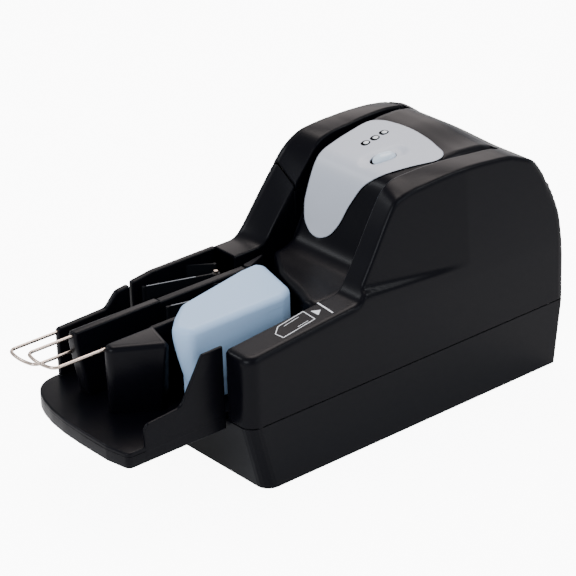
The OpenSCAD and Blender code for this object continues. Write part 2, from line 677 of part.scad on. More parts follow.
// Control panel: an inlay that follows the island's top and slope.
button_place = [uturn_x + 6.5, front_y + 187];
lights_x = button_place[0] - 24.2;
light_places = [
    [lights_x - 0.6, front_y + 192.5], [lights_x + 0.1, front_y + 200.5],
    [lights_x + 0.5, front_y + 208.5]];
panel_left_x = island_left_x + 2.5;
panel_right_x = island_right_x - guide_t - 2;
panel_plan = [
    [panel_left_x, front_y + 152, 12], [panel_left_x + 8.5, front_y + 143.5, 14],
    [uturn_x - 5, front_y + 143.5, 16], [uturn_x + 5, front_y + 152, 14],
    [panel_right_x - 20, front_y + 166, 20], [panel_right_x, front_y + 203, 8],
    [panel_right_x - 4, front_y + 219, 10], [uturn_x + 9, front_y + 225.5, 60],
    [panel_left_x + 10.5, front_y + 225, 12], [panel_left_x, front_y + 214, 12]];
panel_lift = 0.5;
module panel_band(grow, depth, lift) {
    intersection() {
        along_z(divider_z, top_z + 10) polygon(rounded(inset(panel_plan, -grow), 6));
        along_x(-HW, HW) difference() {
            polygon(rounded(inset(island_profile, -lift - EPS), 6));
            polygon(rounded(inset(island_profile, depth), 6));
        }
    }
}
button_tilt = 11;
well_r = 14;
well_len = 12;
well_depth = 1.2;
module button_frame() translate([button_place[0], button_place[1], top_z - 6.8])
    rotate([button_tilt, 0, 0]) children();
module oval(len, w, z0, z1) {
    translate([0, 0, z0]) {
        for (s = [-1, 1]) translate([0, s * (len - w) / 2, 0]) cylinder(h = z1 - z0, r = w / 2);
        translate([-w / 2, -(len - w) / 2, 0]) cube([w, len - w, z1 - z0]);
    }
}
module button_hole(gap) button_frame() oval(button_len + gap, button_w + gap, -12, 12);
module control_panel() color([0.72, 0.73, 0.75]) {
    difference() {
        panel_band(-0.15, panel_t - 0.1, panel_lift);
        button_hole(0.8);
        for (p = light_places) post(p[0], p[1], top_z - 20, top_z + 10, light_r + 0.1);
        // Scooped oval well round the button.
        button_frame() translate([0, 2, well_r - well_depth]) {
            rotate([90, 0, 0]) translate([0, 0, -well_len / 2]) cylinder(h = well_len, r = well_r);
            for (s = [-1, 1]) translate([0, s * well_len / 2, 0]) sphere(r = well_r);
        }
    }
}
module status_lights() color([0.85, 0.85, 0.8])
    for (p = light_places) post(p[0], p[1], top_z - 12, panel_top(p[1]) + 0.3, light_r);
function panel_top(y) = top_z - 7 + (y - front_y - 186) * 7.8 / 42 + panel_lift;
module power_button() color([0.72, 0.80, 0.86]) button_frame() {
    oval(button_len, button_w, -4, 1.8);
    translate([0, 0, -9]) cylinder(h = 6, r = 2);
}
module button_spring() color([0.8, 0.8, 0.82]) button_frame() difference() {
    translate([0, 0, -9.5]) cylinder(h = 5.2, r = 3.4);
    translate([0, 0, -10]) cylinder(h = 7, r = 2.6);
}
module button_switch() color([0.2, 0.2, 0.2]) button_frame() {
    difference() {
        box([-6, -6, -16.5], [6, 6, -9.5]);
        translate([0, 0, -10.8]) cylinder(h = 5, r = 2.2);
    }
    for (s = [-1, 1]) box([s * 8 - 2.1, -6, -16.5], [s * 8 + 2.1, 6, -14]);
    for (s = [-1, 1]) box([s * 9 - 1.1, -4, -16.5], [s * 9 + 1.1, 4, -3]);
}

// Exit cover: the exit-side housing, its long low wall, and the fixed knuckles of the lid hinge.
lid_front_y = front_y + 150;
lid_rear_y = slot_end_y - 3;
lid_gap = 0.4;
knuckle_r = 3;
hinge_pin_r = 1.5;
hinge_x = -HW + knuckle_r + 1.2;
hinge_z = seam_z + 68;
knuckles = 5;
knuckle_len = (lid_rear_y - lid_front_y - 12) / knuckles;
function knuckle_y(i) = lid_front_y + 6 + i * knuckle_len;
module lid_zone(g) {
    box([-HW - 2, lid_front_y - g, hinge_z - knuckle_r - 0.6],
        [exit_x - wall - 0.3, lid_rear_y + g, top_z + 9]);
    box([-HW - 2, lid_front_y - g, guide_top_z + 4 - g], [exit_x + 1, lid_rear_y + g, top_z + 9]);
}
module hinge_rod(y0, y1, r) translate([hinge_x, y1, hinge_z]) rotate([90, 0, 0])
    cylinder(h = y1 - y0, r = r);
module exit_shell() cover_shell(exit_profile, -HW - 1, exit_x, front_y + 92, slot_end_y);
module exit_cover() color([0.10, 0.10, 0.11]) {
    difference() {
        union() {
            difference() {
                exit_shell();
                lid_zone(0);
                // The front of the housing is open, so documents reach the outer pocket.
                box([-HW + tray_wall_t, front_y + 91, seam_z + 1],
                    [exit_x - wall, front_y + 92 + wall + 1, top_z]);
            }
            low_wall();
            for (i = [0:2:knuckles - 1]) {
                hinge_rod(knuckle_y(i) + lid_gap / 2, knuckle_y(i + 1) - lid_gap / 2, knuckle_r);
                box([hinge_x - knuckle_r + 0.3, knuckle_y(i) + lid_gap / 2, hinge_z - knuckle_r - 3],
                    [hinge_x - 0.2, knuckle_y(i + 1) - lid_gap / 2, hinge_z]);
            }
        }
        tyre_window(pinch_place(drive_places[3]), pinch_r);
        hinge_rod(lid_front_y, lid_rear_y, hinge_pin_r);
        box([exit_x - wall - 4, tray_rear_y - 1, seam_z - 1], [exit_x + 1, slot_end_y + 1, floor_z + 0.2]);
        box([-HW + wall, slot_end_y - 4, seam_z - 1], [exit_x + 1, slot_end_y + 1, floor_z + 0.2]);
        box([-HW + wall, front_y + 87, seam_z - 1], [exit_x + 1, front_y + 97, floor_z + 0.2]);
    }
}
module low_wall() {
    wall_profile = [
        [front_y + 15.6, floor_z, 0], [front_y + 93, floor_z, 0], [front_y + 93, left_wall_z - 0.3, 0],
        [front_y + 89.5, left_wall_z - 0.3, 1], [front_y + 34, left_wall_z - 0.6, 6],
        [front_y + 22, left_wall_z - 2.5, 6], [front_y + 15.6, left_wall_z - 3, 2]];
    along_x(-HW, -HW + tray_wall_t) polygon(rounded(wall_profile, 4));
}
module access_lid() color([0.11, 0.11, 0.12]) {
    g = lid_gap;
    difference() {
        union() {
            intersection() {
                exit_shell();
                union() {
                    box([-HW - 2, lid_front_y + g, hinge_z],
                        [exit_x - wall - 0.8, lid_rear_y - g, top_z + 9]);
                    box([-HW - 2, lid_front_y + g, guide_top_z + 4 + g],
                        [exit_x, lid_rear_y - g, top_z + 9]);
                }
            }
            for (i = [1:2:knuckles - 2]) {
                hinge_rod(knuckle_y(i) + g / 2, knuckle_y(i + 1) - g / 2, knuckle_r);
                box([hinge_x - knuckle_r + 0.3, knuckle_y(i) + g / 2, hinge_z],
                    [hinge_x - 0.2, knuckle_y(i + 1) - g / 2, hinge_z + knuckle_r + 3]);
            }
        }
        hinge_rod(lid_front_y, lid_rear_y, hinge_pin_r + pin_fit);
        for (i = [0:2:knuckles - 1])
            hinge_rod(knuckle_y(i) - g / 2, knuckle_y(i + 1) + g / 2, knuckle_r + g);
        // Below the knuckles the lid keeps clear of the fixed wall, so it can swing down.
        for (i = [0:2:knuckles - 1])
            box([-HW - 2, knuckle_y(i) - g / 2, hinge_z - 1],
                [hinge_x, knuckle_y(i + 1) + g / 2, hinge_z + knuckle_r + g]);
    }
}
module lid_pin() color([0.7, 0.7, 0.7])
    hinge_rod(knuckle_y(0) + 0.5, knuckle_y(knuckles) - 0.5, hinge_pin_r);

// Ink cartridge and its holder under the access lid.
module ink_holder() color([0.25, 0.25, 0.27]) {
    x0 = -HW + 6;
    x1 = exit_x - wall - 0.4;
    y0 = front_y + 186;
    difference() {
        box([x0, y0, floor_z], [x1, y0 + 34, floor_z + 60]);
        box([x0 + 2, y0 + 2, floor_z + 30], [x1 + 1, y0 + 32, floor_z + 61]);
        box([x0 + 3, y0 + 3, floor_z - 1], [x1 - 3, y0 + 31, floor_z + 27]);
    }
}
module ink_cartridge() color([0.15, 0.2, 0.45]) {
    x0 = -HW + 8.3;
    x1 = exit_x - wall - 0.8;
    y0 = front_y + 188.3;
    difference() {
        union() {
            box([x0, y0, floor_z + 30], [x1, y0 + 29.4, floor_z + 58]);
            box([x0 + 4, y0 + 8, floor_z + 57.9], [x1 - 4, y0 + 21, floor_z + 66]);
        }
        box([x0 - 1, y0 + 10, floor_z + 60], [x1 + 1, y0 + 19, floor_z + 64]);
    }
}

// Pocket tray: floor, rim, and the two end walls of pockets and hopper.
tray_plan = [
    [-HW, tray_rear_y, 0], [-HW, front_y - 62, 20], [-HW + 12, front_y - 77, 22],
    [exit_x + 1, tray_y + 3, 60], [0, tray_y, 0], [feed_x - 21, tray_y, 0], [feed_x, tray_y + 3.5, 5],
    [feed_x, tray_rear_y, 0]];
hopper_side_x = feed_x - wall;
module tray_rim() intersection() {
    along_z(floor_z - tray_depth, floor_z) polygon(rounded(tray_plan, 6));
    box([-HW, tray_y - 1, 0], [HW, front_y - 0.2, floor_z]);
}
module tray_floor() along_z(seam_z, floor_z) intersection() {
    polygon(rounded(tray_plan, 6));
    translate([-HW, front_y - 1]) square([feed_x - 1.3 + HW, tray_rear_y - front_y + 1]);
}
module tray_hollow() {
    along_z(floor_z - tray_depth - 1, floor_z - wall) difference() {
        polygon(rounded(inset(tray_plan, wall), 6));
        translate([-HW, front_y - wall - 0.2]) square([body_w, 200]);
    }
    along_z(seam_z - 1, floor_z - wall) difference() {
        polygon(rounded(inset(tray_plan, wall), 6));
        translate([-HW, tray_y - 5]) square([body_w, tray_out + 5 + wall]);
    }
}
module pocket_tray() color([0.10, 0.10, 0.11]) {
    p0 = boss_places[0];
    difference() {
        union() {
            difference() {
                union() {
                    tray_rim();
                    tray_floor();
                }
                tray_hollow();
            }
            tray_right_wall();
            tray_left_wall();
            post(p0[0], p0[1], chassis_z, floor_z - EPS, boss_r);
        }
        post(p0[0], p0[1], chassis_z - 1, chassis_z + 8, screw_r);
        post(flag_place[0], flag_place[1], floor_z - 5, floor_z + 1, flag_pin_d / 2);
        for (p = leaf_places) post(p[0], p[1], floor_z - 5, floor_z + 1, leaf_pin_r);
        wire_bore(far_left_x, far_wire_z, front_y - 60);
    }
}
module tray_right_wall() {
    p = [[tray_y + 4.5, floor_z - 1, 0], [front_y - 0.2, floor_z - 1, 0],
        [front_y - 0.2, divider_z + 0.5, 1],
         [front_y - 18.5, divider_z, 3], [front_y - 38.5, floor_z + 19, 8], [front_y - 67, floor_z + 17, 4],
         [front_y - 70, floor_z + 2, 2], [tray_y + 4.5, floor_z + 1, 0]];
    along_x(hopper_side_x, feed_x) polygon(rounded(p, 5));
}
module tray_left_wall() {
    p = [[front_y - 51, floor_z - 1, 0], [front_y + 13.6, floor_z - 1, 0],
        [front_y + 13.6, left_wall_z - 4.5, 2],
         [front_y + 2, left_wall_z - 6, 6], [front_y - 8, tray_wall_low_z + 0.6, 5],
         [front_y - 51, tray_wall_low_z - 0.8, 3]];
    along_x(-HW, -HW + tray_wall_t) polygon(rounded(p, 5));
}

// Hopper post and the thin wall behind it, between the inner pocket and the hopper.
hopper_wall_rear_y = front_y + 84;
near_right_x = hopper_wall_x + hopper_wall_t / 2;
module hopper_post() color([0.11, 0.11, 0.12]) {
    top_plan = [
        [hopper_wall_x, front_y - 62, 8], [hopper_wall_x + 7, front_y - 65, 6],
        [hopper_wall_x + 30.5, front_y - 27, 3], [hopper_wall_x + 29.5, front_y - 23, 2],
        [hopper_wall_x + hopper_wall_t, front_y - 15, 1],
        [hopper_wall_x, front_y - 15, 0]];
    foot_plan = [
        [hopper_wall_x, front_y - 58, 4], [hopper_wall_x + 10, front_y - 60, 4],
        [hopper_wall_x + 27.5, front_y - 32, 3], [hopper_wall_x + 27.5, front_y - 24, 2],
        [hopper_wall_x + hopper_wall_t, front_y - 17, 1],
        [hopper_wall_x, front_y - 17, 0]];
    difference() {
        union() {
            hull() {
                along_z(floor_z, floor_z + 1) polygon(rounded(foot_plan, 5));
                along_z(divider_z - 4, divider_z - 2) polygon(rounded(top_plan, 5));
                along_z(divider_z - 1, divider_z) polygon(rounded(inset(top_plan, 2), 5));
            }
            along_z(floor_z, divider_z - 0.5)
                translate([hopper_wall_x, front_y - 20])
                    square([hopper_wall_t, hopper_wall_rear_y - front_y + 20]);
        }
        wire_bore(near_right_x, near_wire_z, front_y - 75);
    }
}
module wire_bore(x, z, y0) {
    translate([x, front_y + 30, z]) rotate([90, 0, 0])
        cylinder(h = front_y + 30 - y0 + 20, r = wire_d / 2 + wire_fit, $fn = 32);
}

// Pocket divider: a raked front part and a slimmer rear part.
nose_rear_y = front_y + 12;
divider_rear_y = front_y + 92;
near_left_x = divider_x;
far_right_x = divider_x - divider_w / 2 - 1.8;
far_left_x = -HW + tray_wall_t / 2;
module divider_nose() color([0.11, 0.11, 0.12]) {
    x0 = divider_x - divider_w / 2;
    x1 = divider_x + divider_w / 2;
    section = [
        [x0 - 5, floor_z, 0], [x1 + 1.5, floor_z, 0], [x1, divider_z, 1.5], [x0, divider_z, 1.5],
        [x0 - 4, divider_z - 10, 4]];
    side = [
        [front_y - divider_out + 9, floor_z, 0], [nose_rear_y, floor_z, 0], [nose_rear_y, divider_z, 1],
        [front_y - divider_out, divider_z, 4], [front_y - divider_out, divider_z - 8, 3]];
    difference() {
        intersection() {
            along_y(front_y - divider_out - 5, nose_rear_y) polygon(rounded(section, 5));
            along_x(x0 - 8, x1 + 4) polygon(rounded(side, 5));
        }
        wire_bore(near_left_x, near_wire_z, front_y - 80);
        wire_bore(far_right_x, far_wire_z, front_y - 80);
    }
}
module pocket_divider() color([0.11, 0.11, 0.12]) {
    x0 = divider_x - divider_w / 2 + 0.5;
    x1 = divider_x + divider_w / 2 - 0.5;
    difference() {
        along_y(nose_rear_y, divider_rear_y) polygon(rounded([
            [x0 - 0.5, floor_z, 0], [x1 + 0.5, floor_z, 0],
            [x1, divider_z - 1, 1.5], [x0, divider_z - 1, 1.5]], 5));
        wire_bore(near_left_x, near_wire_z, front_y - 20);
    }
}

// Pocket wires: U loops of round wire with a bowed front bar.
// A loop is one swept tube: each ring is [x, y, outward angle] along leg, bend, bow, bend, leg.
bow_a = 15;
wire_bend = 6;
wire_sides = 20;
function ring_arc(cx, cy, r, a0, a1, n) =
    [for (k = [0:n]) let (a = a0 + (a1 - a0) * k / n) [cx + r * cos(a), cy + r * sin(a), a]];
function loop_rings(x0, x1, bar_y, leg_end_y) =
    let (r = wire_d / 2, half = (x1 - x0) / 2, mid = (x0 + x1) / 2,
         bow_r = wire_bend + (half - wire_bend) / sin(bow_a),
         bow_y = bar_y + r + bow_r,
         bend_y = bow_y - (bow_r - wire_bend) * cos(bow_a))
    concat([[x0, leg_end_y, 180]], ring_arc(x0 + wire_bend, bend_y, wire_bend, 180, 270 - bow_a, 7),
        [for (q = ring_arc(mid, bow_y, bow_r, 270 - bow_a, 270 + bow_a, 10))
            if (abs(q[2] - 270) < bow_a - 1) q],
        ring_arc(x1 - wire_bend, bend_y, wire_bend, 270 + bow_a, 360, 7), [[x1, leg_end_y, 360]]);
module wire_loop(x0, x1, z, bar_y, leg_end_y) {
    rings = loop_rings(x0, x1, bar_y, leg_end_y);
    n = len(rings);
    m = wire_sides;
    points = [for (q = rings, k = [0:m - 1]) let (a = 360 * k / m)
        [q[0] + wire_d / 2 * cos(a) * cos(q[2]), q[1] + wire_d / 2 * cos(a) * sin(q[2]),
            z + wire_d / 2 * sin(a)]];
    sides = [for (i = [0:n - 2], k = [0:m - 1]) let (j = (k + 1) % m)
        [i * m + j, (i + 1) * m + j, (i + 1) * m + k, i * m + k]];
    polyhedron(points, concat(sides, [[for (k = [0:m - 1]) m - 1 - k]],
        [[for (k = [0:m - 1]) (n - 1) * m + k]]));
}
near_bar_y = front_y - divider_out - near_wire_out - wire_d;
far_bar_y = near_bar_y + 9;
module near_wire() color([0.78, 0.74, 0.68])
    wire_loop(near_left_x, near_right_x, near_wire_z, near_bar_y, front_y - divider_out + wire_engage);
module far_wire() color([0.78, 0.74, 0.68])
    wire_loop(far_left_x, far_right_x, far_wire_z, far_bar_y, front_y - divider_out + wire_engage);

// Feeder flag: a wedge-shaped cap on a plate that presses the documents to the feed rollers.
flag_right_x = feed_x - 17;
flag_place = [flag_right_x - 13, front_y - 7];
flag_front_y = front_y - 30;
flag_boss_r = flag_pin_d / 2 + 3;
flag_nose_z = floor_z + 16;
module flag_outline(d) {
    x = hopper_wall_x;
    p = [[flag_right_x - 14, front_y - 20.5, 9], [flag_right_x, front_y - 14, 8],
         [flag_right_x, front_y + 66, 6], [flag_right_x - 4, front_y + 74, 8], [x - 4.5, front_y + 92, 8],
         [x - 12, front_y + 88, 6], [x - 10.5, front_y + 72, 10], [x + 3.5, front_y + 8, 14],
         [x + 15.5, front_y - 7, 14]];
    polygon(rounded(inset(p, d), 5));
}
module feeder_flag() color([0.72, 0.82, 0.90]) {
    cap_z = divider_z + 1;
    plate_z = floor_z + 3;
    difference() {
        union() {
            hull() {
                along_z(cap_z, flag_z - 4) flag_outline(0);
                along_z(flag_z - 1, flag_z) flag_outline(3.5);
            }
            intersection() {
                along_z(plate_z, cap_z + EPS) flag_outline(0);
                union() {
                    box([flag_right_x - flag_t, flag_front_y, 0], [flag_right_x + 1, front_y + 64, top_z]);
                    box([flag_right_x - 12, front_y + 50, 0], [flag_right_x + 1, front_y + 80, top_z]);
                    box([flag_right_x - 29, flag_front_y, flag_nose_z],
                        [flag_right_x + 1, front_y + 3, top_z]);
                    post(flag_place[0], flag_place[1], 0, flag_nose_z + 1, flag_boss_r);
                }
            }
        }
        difference() {
            along_z(cap_z - 1, flag_z - flag_t) flag_outline(flag_t);
            post(flag_place[0], flag_place[1], floor_z, flag_z, flag_boss_r);
            box([flag_right_x - 29, flag_front_y, 0], [flag_right_x + 1, front_y + 3, cap_z]);
        }
        post(flag_place[0], flag_place[1], plate_z - 1, flag_z - flag_t, flag_pin_d / 2 + pin_fit);
        difference() {
            along_z(plate_z - 1, cap_z) flag_outline(flag_t);
            box([-HW, front_y + 3 - flag_t, 0], [HW, rear_y, top_z]);
            post(flag_place[0], flag_place[1], floor_z, flag_z, flag_boss_r);
        }
    }
}
module flag_pin() color([0.7, 0.7, 0.7]) {
    post(flag_place[0], flag_place[1], floor_z - wall, flag_z - flag_t - 1, flag_pin_d / 2);
    difference() {
        post(flag_place[0], flag_place[1], floor_z, floor_z + 2.7, flag_pin_d / 2 + 2);
        post(flag_place[0], flag_place[1], floor_z - 1, floor_z + 4, flag_pin_d / 2 - 0.5);
    }
}

// Sprung pocket leaves that swing on upright pins, and the fixed guide leaves facing them.
leaf_pin_r = 1.5;
leaf_t = 1.4;
leaf_top_z = divider_z - 4;
leaf_places = [[hopper_wall_x - 5.5, front_y + 76], [exit_x - 0.5, front_y + 74]];
leaf_tips = [[divider_x + 8, front_y + 15], [-HW + 9.5, front_y + 22]];
module pocket_leaf(p, tip) {
    dir = unit2(tip - p);
    side = [-dir[1], dir[0]] * leaf_t / 2;
    z0 = floor_z + 2;
    difference() {
        union() {
            post(p[0], p[1], z0, leaf_top_z, leaf_pin_r + 1.6);
            along_z(z0, leaf_top_z) polygon([p + side, p - side, tip - side, tip + side]);
            post(tip[0], tip[1], z0, leaf_top_z, leaf_t);
        }
        post(p[0], p[1], z0 - 1, leaf_top_z + 1, leaf_pin_r + pin_fit);
        // Long window that lightens the leaf.
        along_z(z0 + 12, leaf_top_z - 10) polygon([
            p + dir * 12 + side * 3, p + dir * 12 - side * 3,
            tip - dir * 8 - side * 3, tip - dir * 8 + side * 3]);
    }
}
module pocket_leaf_1() color([0.2, 0.2, 0.22]) pocket_leaf(leaf_places[0], leaf_tips[0]);
module pocket_leaf_2() color([0.2, 0.2, 0.22]) pocket_leaf(leaf_places[1], leaf_tips[1]);
module leaf_pins() color([0.8, 0.8, 0.82]) {
    for (p = leaf_places) {
        post(p[0], p[1], floor_z - wall, leaf_top_z + 2, leaf_pin_r);
        difference() {
            post(p[0], p[1], floor_z, floor_z + 1.7, leaf_pin_r + 1.5);
            post(p[0], p[1], floor_z - 1, floor_z + 3, leaf_pin_r - 0.5);
        }
    }
}
module guide_leaf(a, b) {
    dir = unit2(b - a);
    side = [-dir[1], dir[0]] * leaf_t / 2;
    root = a - dir * 2;
    intersection() {
        along_z(floor_z, leaf_top_z + 1) polygon([root + side, root - side, b - side, b + side]);
        box([a[0], a[1] - 20, floor_z], [a[0] + 40, a[1] + 60, top_z]);
    }
    post(b[0], b[1], floor_z, leaf_top_z + 1, leaf_t);
}
module guide_leaf_1() color([0.2, 0.2, 0.22])
    guide_leaf([divider_x + divider_w / 2, front_y + 60], [divider_x + 11.5, front_y + 74]);
module guide_leaf_2() color([0.2, 0.2, 0.22])
    guide_leaf([-HW + tray_wall_t, front_y + 66], [-HW + 16.5, front_y + 82]);

// Diverter gate at the end of the track, which sends a document to one of the two pockets.
gate_place = [divider_x - 1, divider_rear_y + 4];
gate_tip = [exit_guide_x + 0.8, front_y + 114];
module diverter_gate() color([0.15, 0.15, 0.16]) {
    dir = unit2(gate_tip - gate_place);
    side = [-dir[1], dir[0]];
    union() {
        post(gate_place[0], gate_place[1], floor_z + 0.4, divider_z - 1, 3);
        along_z(floor_z + 0.4, divider_z - 1) polygon([
            gate_place + side * 2.8, gate_place - side * 2.8,
            gate_tip - side * 0.7, gate_tip + side * 0.7]);
    }
    post(gate_place[0], gate_place[1], floor_z - deck_t, floor_z + 0.5, leaf_pin_r);
}

// Separator roller facing the last feed roller, on its sprung bracket.
module separator_roller() color([0.75, 0.78, 0.8]) {
    p = separator_place;
    shaft_with_tyres(p, drive_r, floor_z + 4, 1);
}
module separator_bracket() color([0.6, 0.6, 0.62]) {
    p = separator_place;
    z1 = tyre_z + tyre_h + 5;
    difference() {
        union() {
            box([p[0] - drive_r - 3.5, p[1] - 4, floor_z], [p[0] - drive_r - 1.5, p[1] + 4, z1]);
            box([p[0] - drive_r - 3, p[1] - 4, floor_z], [p[0] + 4, p[1] + 4, floor_z + 3.5]);
            box([p[0] - drive_r - 3, p[1] - 4, z1 - 3], [p[0] + 4, p[1] + 4, z1]);
        }
        post(p[0], p[1], z1 - 6, z1 + 1, shaft_r + pin_fit);
    }
}

lower_casing();
base_screws();
rubber_feet();
chassis_plate();
main_board();
power_inlet();
usb_socket();
deck();
inner_guide();
rear_guide();
pocket_tray();
hopper_post();
pocket_divider();
divider_nose();
exit_cover();
feed_cover();
island_cover();
access_lid();
lid_pin();
control_panel();
status_lights();
power_button();
button_spring();
button_switch();
feeder_flag();
flag_pin();
near_wire();
far_wire();
pocket_leaf_1();
pocket_leaf_2();
leaf_pins();
guide_leaf_1();
guide_leaf_2();
diverter_gate();
drive_motor();
drive_motor_pulley();
drive_belt();
drive_roller_1();
drive_roller_2();
drive_roller_3();
drive_roller_4();
pinch_roller_1();
pinch_roller_2();
pinch_roller_3();
pinch_roller_4();
pinch_brackets();
feed_motor();
feed_motor_pulley();
feed_belt();
feed_roller_1();
feed_roller_2();
feed_roller_3();
separator_roller();
separator_bracket();
micr_head();
front_image_bar();
rear_image_bar();
ink_cartridge();
ink_holder();
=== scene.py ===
"""Desktop cheque scanner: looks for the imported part.

Camera, studio and frame are in metres; shape tables are in millimetres, and make_piece scales them.
+Z up, +Y from the pockets to the back, +X the feed side.
"""
import json
import math
import bpy
import numpy as np
from mathutils import Matrix, Vector


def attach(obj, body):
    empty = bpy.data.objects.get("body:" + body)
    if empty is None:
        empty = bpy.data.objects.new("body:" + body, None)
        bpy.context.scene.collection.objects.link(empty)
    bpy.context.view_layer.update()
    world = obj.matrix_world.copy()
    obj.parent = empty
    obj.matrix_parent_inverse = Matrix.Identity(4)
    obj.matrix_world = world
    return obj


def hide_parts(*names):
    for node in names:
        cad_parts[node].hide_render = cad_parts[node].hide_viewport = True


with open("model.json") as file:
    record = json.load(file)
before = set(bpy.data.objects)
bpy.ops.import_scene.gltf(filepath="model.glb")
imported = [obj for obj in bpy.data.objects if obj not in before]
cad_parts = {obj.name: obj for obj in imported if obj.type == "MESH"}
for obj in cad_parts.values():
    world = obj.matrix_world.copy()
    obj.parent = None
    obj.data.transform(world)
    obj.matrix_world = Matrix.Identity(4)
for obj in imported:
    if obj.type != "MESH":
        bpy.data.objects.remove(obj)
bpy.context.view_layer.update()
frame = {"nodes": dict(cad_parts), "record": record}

MM = 0.001
QUARTER = np.pi / 2

# ---------------------------------------------------------------- camera and studio
CAMERA_PLACE = (1.3012, -1.0636, 0.9261)
CAMERA_TURN = -50.72       # degrees from +Y; minus swings towards -X
CAMERA_TILT = 26.05        # degrees below the horizon
CAMERA_ROLL = -1.88
FOCAL_PIXELS = 2600.0
IMAGE_PIXELS = 576.0

EYE_GLOW = 9.0             # what only the camera sees of the sky and the paper
SKY_CAST = 0.55            # what they throw onto the scanner
PAPER_CAST = 0.25
FLOOR_REACH = 4.0

# name, place, target, size, power, colour
STUDIO_LIGHTS = [
    ("top_light", (-0.5, 0.5, 1.5), (0, 0, 0.1), 0.9, 20, (1.0, 0.9, 0.86)),
    ("back_light", (-1.7, 1.5, 1.0), (0, 0, 0.15), 1.1, 8, (1.0, 0.88, 0.84)),
    ("edge_light", (0.85, 1.05, 1.4), (0, 0, 0.1), 0.3, 7, (0.95, 0.97, 1.0)),
    ("rim_light", (-1.3, -0.85, 1.15), (0, -0.1, 0.1), 0.3, 6, (0.95, 0.97, 1.0)),
    ("front_light", (0.4, -1.6, 1.0), (0, -0.1, 0.08), 0.8, 20, (0.9, 0.94, 1.0)),
    ("side_light", (1.7, 0.5, 0.9), (0, 0, 0.08), 0.7, 7, (0.85, 0.9, 1.0))]


def make_camera():
    """Looks along the photograph's line of sight; right and up follow from the turn, tilt and roll."""
    turn, tilt, roll = (math.radians(a) for a in (CAMERA_TURN, CAMERA_TILT, CAMERA_ROLL))
    look = Vector((math.sin(turn) * math.cos(tilt), math.cos(turn) * math.cos(tilt), -math.sin(tilt)))
    level = look.cross(Vector((0, 0, 1))).normalized()
    lift = level.cross(look)
    right = level * math.cos(roll) + lift * math.sin(roll)
    up = right.cross(look)
    lens = bpy.data.cameras.new("studio_camera")
    lens.sensor_width = 36.0
    lens.lens = FOCAL_PIXELS * lens.sensor_width / IMAGE_PIXELS
    lens.clip_end = 20.0
    camera = bpy.data.objects.new("studio_camera", lens)
    turned_view = Matrix((right, up, -look)).transposed().to_4x4()
    camera.matrix_world = Matrix.Translation(CAMERA_PLACE) @ turned_view
    bpy.context.scene.collection.objects.link(camera)
    bpy.context.scene.camera = camera


def soft_light(name, place, target, size, power, colour):
    """A square area light that faces its target."""
    lamp = bpy.data.lights.new(name, "AREA")
    lamp.size = size
    lamp.energy = power
    lamp.color = colour
    light = bpy.data.objects.new(name, lamp)
    aim = (Vector(target) - Vector(place)).to_track_quat("-Z", "Y")
    light.matrix_world = Matrix.Translation(place) @ aim.to_matrix().to_4x4()
    bpy.context.scene.collection.objects.link(light)


def node(tree, kind, place=(0, 0), inputs=None, **settings):
    """A new shader node with its settings and the values of its sockets."""
    made = tree.nodes.new(kind)
    made.location = place
    for key, value in settings.items():
        setattr(made, key, value)
    for key, value in (inputs or {}).items():
        made.inputs[key].default_value = value
    return made


def glow_for_eye(tree, cast, strength):
    """The strength is cast for every ray, and EYE_GLOW more for those of the camera."""
    rays = node(tree, "ShaderNodeLightPath", (-500, 0))
    glow = node(tree, "ShaderNodeMath", (-300, 0), {1: EYE_GLOW, 2: cast}, operation="MULTIPLY_ADD")
    tree.links.new(rays.outputs["Is Camera Ray"], glow.inputs[0])
    tree.links.new(glow.outputs[0], strength)


def make_studio():
    """A sky and a paper floor that look white but throw little light, and six soft lights."""
    world = bpy.data.worlds.new("studio")
    world.use_nodes = True
    sky = world.node_tree.nodes["Background"]
    sky.inputs["Color"].default_value = (0.9, 0.94, 1.0, 1)
    glow_for_eye(world.node_tree, SKY_CAST, sky.inputs["Strength"])
    bpy.context.scene.world = world
    for light in STUDIO_LIGHTS:
        soft_light(*light)
    paper = bpy.data.materials.new("studio_paper")
    paper.use_nodes = True
    shader = paper.node_tree.nodes["Principled BSDF"]
    shader.inputs["Base Color"].default_value = (0.92, 0.92, 0.92, 1)
    shader.inputs["Roughness"].default_value = 0.9
    shader.inputs["Emission Color"].default_value = (1, 1, 1, 1)
    glow_for_eye(paper.node_tree, PAPER_CAST, shader.inputs["Emission Strength"])
    r = FLOOR_REACH
    floor_mesh = bpy.data.meshes.new("studio_floor")
    floor_mesh.from_pydata([(-r, -r, 0), (r, -r, 0), (r, r, 0), (-r, r, 0)], [], [(0, 1, 2, 3)])
    floor_mesh.materials.append(paper)
    floor = bpy.data.objects.new("studio_floor", floor_mesh)
    bpy.context.scene.collection.objects.link(floor)


# ---------------------------------------------------------------- materials
GRAIN_SCALE = 2600
GRAIN_DEPTH = 0.00006
CLOUD_SCALE = 18


